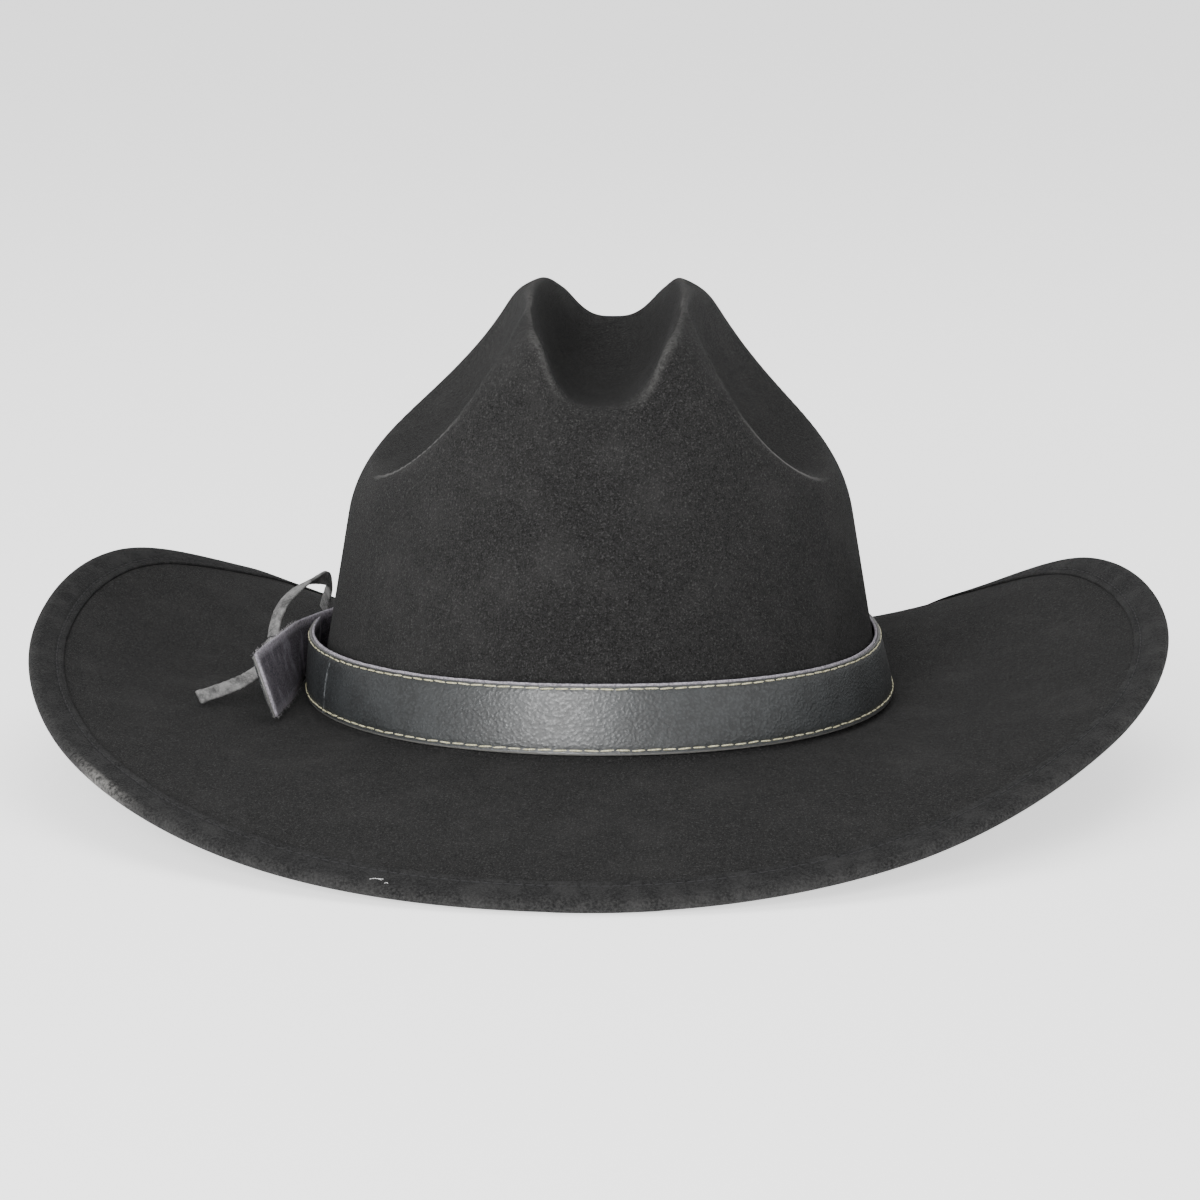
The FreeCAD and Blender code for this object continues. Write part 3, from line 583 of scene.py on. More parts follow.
def rub_and_highlight(outer, facing):
    """How much each point of the outer face stands out, 0 to 1: the share painted paler, partly as rubbed
    wear and partly as a painted highlight.
    """
    count, width = len(outer), len(outer[0])
    wear_and_highlight = []
    for i in range(count):
        line = []
        for j in range(width):
            down = bend(outer[i][max(j - 1, 0)], outer[i][j], outer[i][min(j + 1, width - 1)], facing[i][j])
            round_ = 0.0
            if j > 6:
                step = max(1, 4 - j // 12)
                round_ = bend(outer[i - step][j], outer[i][j], outer[(i + step) % count][j], facing[i][j])
            sharp = max(down, 0.0) + max(round_, 0.0)
            line.append(float(np.clip((sharp - 0.15) / 0.2, 0.0, 1.0)))
        wear_and_highlight.append(line)
    grid = np.array(wear_and_highlight)
    grid = (np.roll(grid, 1, 0) + 2 * grid + np.roll(grid, -1, 0)) / 4
    grid[:, 1:-1] = (grid[:, :-2] + 2 * grid[:, 1:-1] + grid[:, 2:]) / 4
    return grid


outer_face, inward, facing, folds, fold_shares = felt_faces()
# Paler share on convex bends: partly rubbed wear, partly a painted highlight.
wear_and_highlight = rub_and_highlight(outer_face, facing)
felt_rows, felt_wear_and_highlight, felt_fold, felt_creased = [], [], [], []
INNER_STEP = 2
for line, back, rub_highlight, fold, creased in zip(outer_face, inward, wear_and_highlight, folds, fold_shares):
    under = [point - depth for point, depth in zip(line, back)]
    picked = list(range(len(line) - 1, 0, -INNER_STEP)) + [0]
    inner_pole = Vector((SHIFT, 0, under[0].z))
    felt_rows.append([point * MM for point in line + [under[j] for j in picked[:-1]] + [inner_pole]])
    felt_wear_and_highlight.append(list(rub_highlight) + [0.0] * len(picked))
    rest = len(line) + len(picked) - len(fold)
    felt_fold.append(list(fold) + [9.0] * rest)
    felt_creased.append(list(creased) + [0.0] * rest)
pole_up = sum(row[-1].z for row in felt_rows) / len(felt_rows)
for row in felt_rows:
    row[-1].z = pole_up
    row[0] = felt_rows[0][0].copy()

FELTED = {"Roughness": 0.95, "Specular_IOR_Level": 0.12, "Sheen_Weight": 0.025, "Sheen_Roughness": 0.5}
felt = Finish("black_wool_felt", **FELTED)
nap = felt.noise(1900, 5, 0.75)
fleck = felt.noise(1700, 2, 0.55)
cloud = felt.noise(45, 4, 0.6)
patchy = felt.noise(640, 3, 0.65)
tone = felt.mix(felt.ramp(nap, 0.35, 0.68), (0.0025, 0.0025, 0.0027), (0.0245, 0.0241, 0.0237))
tone = felt.mix(felt.ramp(patchy, 0.4, 0.7, 0, 0.3), tone, (0.033, 0.0325, 0.032))
tone = felt.mix(felt.ramp(cloud, 0.45, 0.75, 0, 0.3), tone, (0.04, 0.039, 0.0385))
tone = felt.mix(felt.ramp(fleck, 0.55, 0.69, 0, 0.55), tone, (0.066, 0.065, 0.064))
# Convex bends painted paler: partly rubbed wear, partly a painted highlight on the rims.
rub_highlight_grain = felt.ramp(felt.noise(900, 3), 0.3, 0.6, 0.35, 1.0)
rub_highlight_share = felt.math("MULTIPLY", felt.attribute("rub_and_highlight"), rub_highlight_grain)
tone = felt.mix(felt.math("MULTIPLY", rub_highlight_share, 0.42), tone, (0.11, 0.108, 0.105))
fold_off = felt.math("ADD", felt.attribute("fold"), felt.ramp(felt.noise(60, 2), 0.2, 0.8, -0.3, 0.3))
fold_pale = felt.ramp(felt.math("ABSOLUTE", fold_off), 0.15, 1.0, 0.85, 0.0)
tone = felt.mix(felt.math("MULTIPLY", fold_pale, felt.attribute("creased")), tone, (0.18, 0.176, 0.172))
soft = felt.bump(felt.noise(60, 3), 0.25, 0.002)
uneven = felt.bump(patchy, 0.4, 0.0012, soft)
felt_material = felt.set(Base_Color=tone, Normal=felt.bump(nap, 0.9, 0.0009, uneven))

felt_values = {"rub_and_highlight": felt_wear_and_highlight, "fold": felt_fold, "creased": felt_creased}
felt_body = skin(felt_rows, closed_along=True, closed_around=False, values=felt_values)
piece("felt_shell", felt_body, "hat", "felt", felt_material, "felt_body")


# ---- Bound edge ----
# A felt strip folded over the wired edge of the brim and sewn through near its inner borders with
# black thread. Its two ends overlap in front, and its fold is rubbed pale at the front right.

BIND_WIDE, BIND_HALF, BIND_THICK = 11.0, 2.5, 0.95
THREAD_IN = 8.6
EDGE_STATIONS = 420


def edge_frame(turn):
    """Outermost middle point of the bound brim edge, its outward and its upward direction."""
    step = 0.01
    along = (brim_point(turn + step, 1) - brim_point(turn - step, 1)).normalized()
    out = brim_point(turn, 1) - brim_point(turn, 0.96)
    up = out.cross(along).normalized()
    if up.z < 0:
        up = -up
    out = along.cross(up)
    if out.dot(brim_point(turn, 1) - brim_point(turn, 0)) < 0:
        out = -out
    return brim_point(turn, 1) - up * (FELT / 2), out, up


def fold_outline(extra):
    """Half of the folded strip's outside, from its inner border to the fold: (outward, up)."""
    flank = BIND_HALF + extra
    outline = [(-BIND_WIDE - 0.15, flank - 0.75), (-BIND_WIDE, flank - 0.3),
               (-BIND_WIDE + 0.35, flank - 0.05), (-THREAD_IN - 1.1, flank),
               (-THREAD_IN - 0.5, flank - 0.12), (-THREAD_IN, flank - 0.42),
               (-THREAD_IN + 0.5, flank - 0.12), (-THREAD_IN + 1.1, flank), (-6.0, flank), (-4.4, flank)]
    for step in range(1, 9):
        swing = step / 8 * math.pi / 2
        outline.append((-3.3 + 3.3 * math.sin(swing), flank * math.cos(swing) ** 0.85 if step < 8 else 0.0))
    return outline


bind_rows, bind_worn = [], []
OVERLAP_FROM, OVERLAP_TO = math.radians(-3.2), math.radians(7.0)
for index in range(EDGE_STATIONS):
    turn = FULL_TURN * index / EDGE_STATIONS
    middle, out, up = edge_frame(turn)
    signed = (turn + math.pi) % FULL_TURN - math.pi
    extra = -0.18
    if OVERLAP_FROM < signed < OVERLAP_TO:
        extra = 0.0
    wave = 0.12 * noise.noise(Vector((math.sin(turn) * 14, math.cos(turn) * 14, 2.0)))
    upper = fold_outline(extra)
    outside = upper + [(a, -b) for a, b in reversed(upper[:-1])]
    room = BIND_HALF - BIND_THICK
    inside = [(-BIND_WIDE, -room), (-6.0, -room), (-2.4, -room), (-1.2, 0.0), (-2.4, room), (-6.0, room),
              (-BIND_WIDE, room)]
    border = [1.0 if a < -BIND_WIDE + 0.5 else 0.0 for a, _ in outside]
    bind_rows.append([(middle + out * (a + wave * edge) + up * b) * MM
                      for (a, b), edge in zip(outside, border)]
                     + [(middle + out * a + up * b) * MM for a, b in inside])
    patch = 0.8 * math.exp(-((math.degrees(signed) + 54.5) / 4.2) ** 2)
    shares = []
    for a, b in outside:
        fold = float(smooth_step(a, -3.2, -0.4)) * (1.0 if b > -1.2 else 0.4)
        shares.append(min(0.05 * fold + patch * float(smooth_step(a, -3.0, -1.0)), 1.0))
    bind_worn.append(shares + [0.0] * len(inside))

strip = Finish("binding_felt", **FELTED)
strip_nap = strip.noise(1400, 5, 0.75)
strip_cloud = strip.noise(120, 3, 0.6)
strip_tone = strip.mix(strip.ramp(strip_nap, 0.35, 0.7), (0.004, 0.004, 0.0043), (0.03, 0.0298, 0.03))
strip_tone = strip.mix(strip.ramp(strip_cloud, 0.4, 0.7, 0, 0.35), strip_tone, (0.045, 0.0445, 0.044))
strip_worn = strip.math("MULTIPLY", strip.attribute("rub_and_highlight"),
                        strip.ramp(strip.noise(700, 4, 0.7), 0.35, 0.62, 0.15, 1.0))
strip_tone = strip.mix(strip_worn, strip_tone, (0.2, 0.195, 0.187))
strip_material = strip.set(Base_Color=strip_tone, Normal=strip.bump(strip_nap, 0.85, 0.0009))
bind = skin(bind_rows, closed_along=True, values={"rub_and_highlight": bind_worn})
piece("binding_strip", bind, "hat", "binding_felt", strip_material, "brim_binding")


def stitch(centre, along, up, out, length, width, depth):
    """Placing of one thread stitch: a slim rounded bead laid along the seam."""
    turned = Matrix((up * (width / 2), out * (depth / 2), along * (length / 2))).transposed().to_4x4()
    turned.translation = centre
    return turned


def sewn(places):
    """Beads at all these placings in one mesh, made a few at a time, which is far quicker."""
    groups = []
    for first in range(0, len(places), 30):
        few = bmesh.new()
        for place in places[first:first + 30]:
            made = bmesh.ops.create_uvsphere(few, u_segments=8, v_segments=7, radius=1.0)
            for vert in made["verts"]:
                vert.co.z = squarer(vert.co.z, 0.55)
                vert.co = place @ vert.co
        for face in few.faces:
            face.smooth = True
        groups.append(few)
    return joined(groups)


thread = Finish("black_thread", Roughness=0.75)
thread_tone = thread.mix(thread.noise(2200, 3), (0.004, 0.004, 0.0045), (0.02, 0.02, 0.022))
black_thread = thread.set(Base_Color=thread_tone, Normal=thread.bump(thread.noise(3000, 2), 0.6, 0.0003))
edge = [brim_point(FULL_TURN * i / 200, 1) for i in range(201)]
edge_length = sum((after - before).length for before, after in zip(edge, edge[1:]))
edge_count = int(edge_length / 3.4)
sewing = []
rng = random.Random(5)
for index in range(edge_count):
    turn = FULL_TURN * index / edge_count
    middle, out, up = edge_frame(turn)
    along = out.cross(up).normalized()
    for side in (1, -1):
        lean = rng.uniform(-0.06, 0.06)
        run = (along + out * lean).normalized()
        centre = middle - out * THREAD_IN + up * (side * (BIND_HALF - 0.42))
        sewing.append(stitch(centre * MM, run, out, up, 2.6 * MM, 0.42 * MM, 0.42 * MM))
piece("binding_sewing", sewn(sewing), "hat", "black_thread", black_thread, "binding_thread")


# ---- Hat band: leather face on a suede-side backing ----
# A pebbled black leather strip 21 mm tall, sewn near both edges to a thinner backing whose purple
# grey flesh side faces the crown. It goes once round; its far end passes outside the near end,
# stands away from the crown and shows its flesh side and fuzzy cut edges.

BAND_TALL, BAND_UP = 21.0, 1.8
BAND_OUT_LOW, BAND_OUT_HIGH = 3.7, -1.0
FACE_THICK, BACKING_THICK, FACE_DROP = 1.0, 0.75, 0.7
STITCH_PITCH, STITCH_LONG, STITCH_IN = 4.6, 4.15, 1.5
NEAR_END, FAR_TURN, TURN_STEP = -97.0, 246.0, 3.5
FAR_END = [((-92.0, 30.0, 25.0), (-88.0, 30.0, 44.4)), ((-95.3, 16.0, 25.0), (-94.0, 15.0, 44.7)),
           ((-96.4, 2.0, 25.1), (-98.0, 2.0, 45.0)), ((-96.6, -13.0, 25.2), (-100.2, -12.0, 45.2)),
           ((-97.3, -28.0, 25.3), (-102.6, -26.0, 45.2)), ((-98.4, -41.0, 25.5), (-104.8, -38.5, 45.1)),
           ((-99.6, -53.5, 25.8), (-106.4, -50.0, 45.0))]


def band_edges(turn):
    """Low and high point of the band's outer face where it lies round the crown."""
    share = smooth_step(-math.degrees(turn), 40, 92)
    low_out = BAND_OUT_LOW + 0.6 * share
    high_out = BAND_OUT_HIGH + 4.2 * share
    sin, cos = math.sin(turn), math.cos(turn)
    z = break_height(turn) + BAND_UP
    tall = BAND_TALL * (1 - 0.085 * sin ** 2)
    low = (sin * (HALF_WIDTH + low_out) + SHIFT, -cos * (HALF_LENGTH + low_out - 0.6), z)
    high = (sin * (HALF_WIDTH + high_out) + SHIFT, -cos * (HALF_LENGTH + high_out + 0.3), z + tall)
    return low, high


def band_stations(spacing):
    """Low and high points, outward directions and run of the band at an even spacing."""
    count = int((FAR_TURN - NEAR_END) / TURN_STEP)
    route = [band_edges(math.radians(NEAR_END + TURN_STEP * i)) for i in range(count + 1)] + FAR_END
    knots = np.array([low + high for low, high in route])
    before = np.vstack([2 * knots[:1] - knots[1:2], knots[:-1]])
    after = np.vstack([knots[1:], 2 * knots[-1:] - knots[-2:-1]])
    slope = (after - before) / 2
    fine = []
    for i in range(len(knots) - 1):
        for u in np.linspace(0, 1, 12, endpoint=False):
            fine.append(hermite(u, knots[i], slope[i], knots[i + 1], slope[i + 1]))
    fine.append(knots[-1])
    fine = np.array(fine)
    middle = (fine[:, :3] + fine[:, 3:]) / 2
    length = np.concatenate([[0], np.cumsum(np.linalg.norm(np.diff(middle, axis=0), axis=1))])
    total = int(length[-1] / spacing)
    even = np.array([np.interp(np.arange(total + 1) * spacing, length, fine[:, k]) for k in range(6)]).T
    stations = []
    for i in range(total + 1):
        low, high = Vector(even[i, :3]), Vector(even[i, 3:])
        ahead, behind = even[min(i + 2, total)], even[max(i - 2, 0)]
        along = Vector(ahead[:3] + ahead[3:] - behind[:3] - behind[3:]).normalized()
        out = along.cross(high - low).normalized()
        stations.append((low, high, out, along))
    return stations


STATION = STITCH_PITCH / 4
BAND = band_stations(STATION)
CREASE_MARK = 62.0


def face_outline(tall):
    """Half-round edged outline of the leather face: (height, depth behind the outer side)."""
    top = tall - FACE_DROP
    puff = [(STITCH_IN + 0.75 + (top - 2 * STITCH_IN - 0.8) * share, -0.22 * math.sin(math.pi * share) ** 0.5)
            for share in (0.06, 0.14, 0.25, 0.38, 0.5, 0.62, 0.75, 0.86, 0.94)]
    upper = tall - STITCH_IN
    outline = [(0.0, 0.5), (0.08, 0.25), (0.3, 0.05), (0.7, -0.03), (STITCH_IN - 0.45, 0.04),
               (STITCH_IN, 0.2), (STITCH_IN + 0.45, 0.04)] + puff
    outline += [(upper - 0.45, 0.04), (upper, 0.2), (upper + 0.35, 0.02), (top - 0.2, -0.03),
                (top - 0.04, 0.12), (top, 0.4)]
    back = [(top - 0.05, FACE_THICK - 0.15), (top - 0.4, FACE_THICK - 0.04), (top / 2, FACE_THICK - 0.04),
            (0.4, FACE_THICK - 0.04), (0.05, FACE_THICK - 0.15)]
    return outline, back


face_rows, face_edge = [], []
for index, (low, high, out, along) in enumerate(BAND):
    tall = (high - low).length
    up = (high - low).normalized()
    outline, back = face_outline(tall)
    from_hole = min(index % 4, 4 - index % 4)
    holes = math.exp(-(from_hole / 0.6) ** 2)
    ripple = 0.12 * noise.noise(low * 0.05) + 0.05 * noise.noise(low * 0.2)
    row, edge = [], []
    for height, depth in outline:
        from_seam = min(abs(height - STITCH_IN), abs(height - tall + STITCH_IN))
        groove = 0.1 * holes if from_seam < 0.1 else 0.0
        swell = ripple * math.sin(math.pi * height / tall)
        row.append((low + up * height - out * (depth + groove - swell)) * MM)
        edge.append(1.0 if depth > 0.2 or (height < 0.32) else 0.0)
    for height, depth in back:
        row.append((low + up * height - out * depth) * MM)
        edge.append(1.0)
    face_rows.append(row)
    face_edge.append(edge)

leather = Finish("pebbled_black_leather", Specular_IOR_Level=0.75, Coat_Weight=0.12, Coat_Roughness=0.35)
uv_map = leather.add("ShaderNodeUVMap", {}, uv_map="surface").outputs["UV"]
split = leather.add("ShaderNodeSeparateXYZ", {0: uv_map})
lumpy = leather.add("ShaderNodeVectorMath", {0: uv_map, 1: (1.0, 1.25, 1.0)},
                    operation="MULTIPLY").outputs[0]
warp = leather.noise(500, 3, 0.6, lumpy)
pull = leather.add("ShaderNodeCombineXYZ", {0: leather.math("MULTIPLY", warp, 0.0012),
                                            1: leather.math("MULTIPLY", warp, 0.0009)}).outputs[0]
warped = leather.add("ShaderNodeVectorMath", {0: lumpy, 1: pull}, operation="ADD").outputs[0]
pebble = leather.cells(1050, warped)
fine_grain = leather.noise(4200, 3, 0.6, uv_map)
broad = leather.noise(70, 3, 0.5, uv_map)
hide = leather.mix(leather.ramp(pebble, 0.15, 0.6), (0.02, 0.0225, 0.0235), (0.007, 0.008, 0.0085))
hide = leather.mix(leather.ramp(broad, 0.35, 0.7, 0, 0.5), hide, (0.028, 0.0315, 0.033))
crease_off = leather.math("SUBTRACT", split.outputs[0], CREASE_MARK * MM)
crease_wander = leather.math("MULTIPLY", leather.noise(160, 2, 0.5, uv_map), 0.003)
crease_off = leather.math("ADD", crease_off, crease_wander)
crease_line = leather.ramp(leather.math("ABSOLUTE", crease_off), 0.0002, 0.0009, 0.45, 0.0)
crease_gaps = leather.ramp(leather.noise(420, 3, 0.6, uv_map), 0.4, 0.6)
crease_line = leather.math("MULTIPLY", crease_line, crease_gaps)
hide = leather.mix(crease_line, hide, (0.3, 0.32, 0.33))
hide = leather.mix(leather.math("MULTIPLY", leather.attribute("cut_edge"), 0.85), hide, (0.13, 0.128, 0.12))
gloss = leather.ramp(pebble, 0.1, 0.6, 0.34, 0.52)
grain = leather.bump(pebble, 0.55, 0.0003)
grain.node.invert = True
leather_material = leather.set(Base_Color=hide, Roughness=gloss,
                               Normal=leather.bump(fine_grain, 0.25, 0.0002, grain))
face = skin(face_rows, values={"cut_edge": face_edge})
closed_ends(face)
piece("leather_face", face, "hat_band", "band_leather", leather_material, "band_face")

backing_rows, fuzz_rows = [], []
BACKING_AT = FACE_THICK + 0.02
for index, (low, high, out, along) in enumerate(BAND):
    tall = (high - low).length
    up = (high - low).normalized()
    lip = 0.1 * noise.noise(high * 0.35) + 0.06 * noise.noise(high * 1.3)
    near, far = BACKING_AT, BACKING_AT + BACKING_THICK
    outline = [(0.0, near + 0.2), (0.1, near), (0.4, near), (2.0, near), (tall / 2, near),
               (tall - 2.0, near), (tall - 0.9, near), (tall - 0.25 + lip, near - 0.1),
               (tall - 0.02 + lip, near + 0.05), (tall + lip, near + 0.35), (tall - 0.12 + lip, far - 0.1),
               (tall - 0.6, far), (tall - 3.0, far), (tall * 0.66, far), (tall / 2, far),
               (tall * 0.33, far), (3.0, far), (0.3, far), (0.04, far - 0.2)]
    backing_rows.append([(low + up * height - out * depth) * MM for height, depth in outline])
    fuzz_rows.append([1.0 if height < 0.5 or height > tall - 1.0 else 0.0 for height, depth in outline])
for index, share in ((0, 1.0), (1, 0.7), (-1, 1.0), (-2, 0.8), (-3, 0.3)):
    fuzz_rows[index] = [max(value, share) for value in fuzz_rows[index]]

flesh = Finish("purple_grey_flesh_side", Roughness=1.0, Specular_IOR_Level=0.1, Sheen_Weight=0.04,
               Sheen_Roughness=0.5)
flesh_nap = flesh.noise(1900, 5, 0.7)
flesh_cloud = flesh.noise(170, 4, 0.65, flesh.stretched(1, 1, 0.45))
flesh_tone = flesh.mix(flesh.ramp(flesh_nap, 0.35, 0.7), (0.035, 0.031, 0.039), (0.16, 0.147, 0.172))
flesh_tone = flesh.mix(flesh.ramp(flesh_cloud, 0.48, 0.72, 0, 0.6), flesh_tone, (0.25, 0.228, 0.272))
flesh_ragged = flesh.ramp(flesh.noise(1300, 3), 0.35, 0.6, 0.35, 0.9)
flesh_edge = flesh.math("MULTIPLY", flesh.attribute("cut_edge"), flesh_ragged)
flesh_tone = flesh.mix(flesh_edge, flesh_tone, (0.42, 0.395, 0.44))
flesh_material = flesh.set(Base_Color=flesh_tone, Normal=flesh.bump(flesh_nap, 0.9, 0.0007))
backing = skin(backing_rows, values={"cut_edge": fuzz_rows})
closed_ends(backing)
piece("suede_backing", backing, "hat_band", "band_suede", flesh_material, "band_backing")


# ---- Saddle stitches ----
# Waxed cream thread in two rows, about 1.5 mm from the band's edges, each stitch pressed a little
# into its furrow and leaning slightly, with a dark needle hole between one and the next.

waxed = Finish("waxed_cream_thread", Roughness=0.55)
waxed_twist = waxed.noise(2600, 2, 0.5, waxed.stretched(1, 1, 0.5))
waxed_tone = waxed.mix(waxed.ramp(waxed_twist, 0.35, 0.65), (0.32, 0.3, 0.18), (0.62, 0.59, 0.42))
waxed_tone = waxed.mix(waxed.ramp(waxed.noise(60, 2), 0.45, 0.7, 0, 0.35), waxed_tone, (0.4, 0.37, 0.22))
cream_thread = waxed.set(Base_Color=waxed_tone, Normal=waxed.bump(waxed_twist, 0.7, 0.0003))


def stitch_row(name, from_top, seed, node):
    places = []
    rng = random.Random(seed)
    for index in range(6, len(BAND) - 3, 4):
        low, high, out, along = BAND[index]
        up = (high - low).normalized()
        base = high - up * STITCH_IN if from_top else low + up * STITCH_IN
        run = (along + up * rng.uniform(-0.05, 0.07)).normalized()
        side = out.cross(run).normalized()
        centre = base + out * 0.06 + up * rng.uniform(-0.08, 0.08)
        places.append(stitch(centre * MM, run, side, out, (STITCH_LONG + rng.uniform(-0.2, 0.2)) * MM,
                             0.52 * MM, 0.46 * MM))
    piece(name, sewn(places), "hat_band", "cream_thread", cream_thread, node)


stitch_row("lower_stitches", False, 21, "band_stitches_lower")
stitch_row("upper_stitches", True, 22, "band_stitches_upper")


# ---- Fuzz and lint ----
# Loose fibres stand out of the cut suede at the band's far end and along its backing, and a few specks
# of pale lint lie on the front of the brim.

def fibre(bm, root, tip, radius):
    """A thin three-sided hair from root to tip."""
    run = tip - root
    turned = run.to_track_quat("Z", "Y").to_matrix().to_4x4()
    turned.translation = (root + tip) / 2
    bmesh.ops.create_cone(bm, cap_ends=True, segments=3, radius1=radius, radius2=radius * 0.3,
                          depth=run.length, matrix=turned)


hair = Finish("pale_fibre", Roughness=0.9)
hair_material = hair.set(Base_Color=hair.mix(hair.noise(300), (0.2, 0.19, 0.2), (0.5, 0.48, 0.5)))
fuzz = bmesh.new()
rng = random.Random(77)
for index in range(len(BAND) - 46, len(BAND)):
    low, high, out, along = BAND[index]
    up = (high - low).normalized()
    for edge, way in ((high, up), (low, -up)):
        for _ in range(3):
            root = edge - out * rng.uniform(0.6, 1.7) + along * rng.uniform(-0.6, 0.6)
            tip = root + (way * rng.uniform(0.3, 1.1) + along * rng.uniform(-0.8, 0.8)
                          - out * rng.uniform(-0.3, 0.6))
            fibre(fuzz, root * MM, tip * MM, 0.03 * MM)
low, high, out, along = BAND[-1]
for _ in range(150):
    level = rng.uniform(0, 1)
    root = low.lerp(high, level) - out * rng.uniform(0.2, 1.75)
    tip = (root + along * rng.uniform(0.3, 2.2) + (high - low) * rng.uniform(-0.04, 0.08)
           + out * rng.uniform(-0.4, 0.4))
    fibre(fuzz, root * MM, tip * MM, 0.03 * MM)
piece("band_fuzz", fuzz, "hat_band", "band_suede", hair_material)

lint = bmesh.new()
LINT = [(-20.2, 0.965, 3.6, 0.5), (-19.4, 0.955, 1.4, -0.2), (-18.6, 0.975, 1.1, 0.9)]
for degrees, share, length, swing in LINT:
    turn = math.radians(degrees)
    up = brim_normal(turn, share)
    along = (brim_point(turn + 0.01, share) - brim_point(turn - 0.01, share)).normalized()
    aside = up.cross(along)
    centre = brim_point(turn, share) + up * 1.35
    last = centre
    for step in range(1, 6):
        bow = swing * math.sin(step / 5 * math.pi) * length * 0.3
        point = centre + along * (length * step / 5) + aside * (bow + 0.12 * length * step / 5)
        fibre(lint, last * MM, point * MM, 0.11 * MM)
        last = point
fluff = Finish("white_lint", Roughness=0.9)
piece("brim_lint", lint, "hat", "felt",
      fluff.set(Base_Color=fluff.mix(fluff.noise(900), (0.35, 0.35, 0.35), (0.75, 0.75, 0.74))))


# ---- Sweatband ----
# A soft black leather band 34 mm tall, turned up inside the crown. Its lower edge is rolled over a
# plastic reed and sewn through a woven tape to the felt; at the back is a ribbon bow and a label.

SWEAT_LOW, SWEAT_TALL, SWEAT_THICK = -2.4, 34.0, 1.0
SWEAT_IN_LOW, SWEAT_SIDE_HIGH, SWEAT_END_HIGH = 4.4, 8.8, 9.7


def inside_point(turn, depth, height):
    """Point this deep behind the sweatband's outer side and this high over the break."""
    share = (height - SWEAT_LOW) / SWEAT_TALL
    side = SWEAT_IN_LOW + (SWEAT_SIDE_HIGH - SWEAT_IN_LOW) * share + depth
    end = SWEAT_IN_LOW + (SWEAT_END_HIGH - SWEAT_IN_LOW) * share + depth
    x = math.sin(turn) * (HALF_WIDTH - side) + SHIFT
    y = -math.cos(turn) * (HALF_LENGTH - end)
    return Vector((x, y, break_height(turn) + height))


sweat_rows = []
SWEAT_STATIONS = 300
for index in range(SWEAT_STATIONS):
    turn = FULL_TURN * index / SWEAT_STATIONS
    around = Vector((math.sin(turn), math.cos(turn), 0))
    high = SWEAT_LOW + SWEAT_TALL
    outside = [(0.0, SWEAT_LOW + 0.3), (0.0, 8.0), (0.0, 20.0), (0.1, high - 0.4), (0.5, high - 0.05),
               (0.9, high - 0.4)]
    row = [inside_point(turn, depth, height) for depth, height in outside]
    for height in (high - 2.0, 27.0, 23.0, 19.0, 15.0, 11.5, 8.5, 6.0, 4.0, 2.4):
        pull = float(smooth_step(height, 1.0, 14.0)) * (1 - float(smooth_step(height, 24.0, 31.0)))
        wave = 0.35 * pull * noise.noise(around * 6 + Vector((0, 0, height * 0.05)))
        row.append(inside_point(turn, SWEAT_THICK + wave, height))
    for inset, height in ((0.22, 0.6), (0.0, -0.4), (0.0, SWEAT_LOW + 0.5), (0.3, SWEAT_LOW + 0.02)):
        row.append(inside_point(turn, SWEAT_THICK - inset, height))
    sweat_rows.append([point * MM for point in row])

soft_hide = Finish("sweatband_leather", Roughness=0.5)
pores = soft_hide.cells(1500)
creases = soft_hide.noise(300, 4, 0.6, soft_hide.stretched(1, 1, 2.5))
soft_tone = soft_hide.mix(soft_hide.ramp(creases, 0.35, 0.7), (0.02, 0.018, 0.017), (0.05, 0.045, 0.042))
soft_tone = soft_hide.mix(soft_hide.ramp(pores, 0.4, 0.7, 0, 0.5), soft_tone, (0.01, 0.009, 0.009))
soft_grain = soft_hide.bump(creases, 0.35, 0.0006, soft_hide.bump(pores, 0.3, 0.0003))
sweat_leather = soft_hide.set(Base_Color=soft_tone, Roughness=soft_hide.ramp(creases, 0.3, 0.7, 0.42, 0.62),
                              Normal=soft_grain)
piece("inner_band", skin(sweat_rows, closed_along=True), "hat", "sweat_leather", sweat_leather, "sweatband")

seam = []
SEAM_COUNT = 190
for index in range(SEAM_COUNT):
    turn = FULL_TURN * index / SEAM_COUNT
    point = inside_point(turn, SWEAT_THICK - 0.05, 0.6)
    along = (inside_point(turn + 0.01, 0, 0.6) - inside_point(turn - 0.01, 0, 0.6)).normalized()
    up = Vector((0, 0, 1))
    inwards = along.cross(up).normalized()
    if inwards.dot(point - Vector((0, 0, point.z))) > 0:
        inwards = -inwards
    seam.append(stitch(point * MM, along, up, inwards, 2.3 * MM, 0.4 * MM, 0.35 * MM))
piece("reed_sewing", sewn(seam), "hat", "black_thread", black_thread, "sweatband_stitches")

# A closed sheet that follows the sweatband across the middle of its back: the blank size label.
LABEL_WIDE, LABEL_TALL, LABEL_UP, LABEL_THICK = 24.0, 11.0, 14.6, 0.3


def back_turn(aside):
    return math.pi - aside / (HALF_WIDTH - SWEAT_SIDE_HIGH)


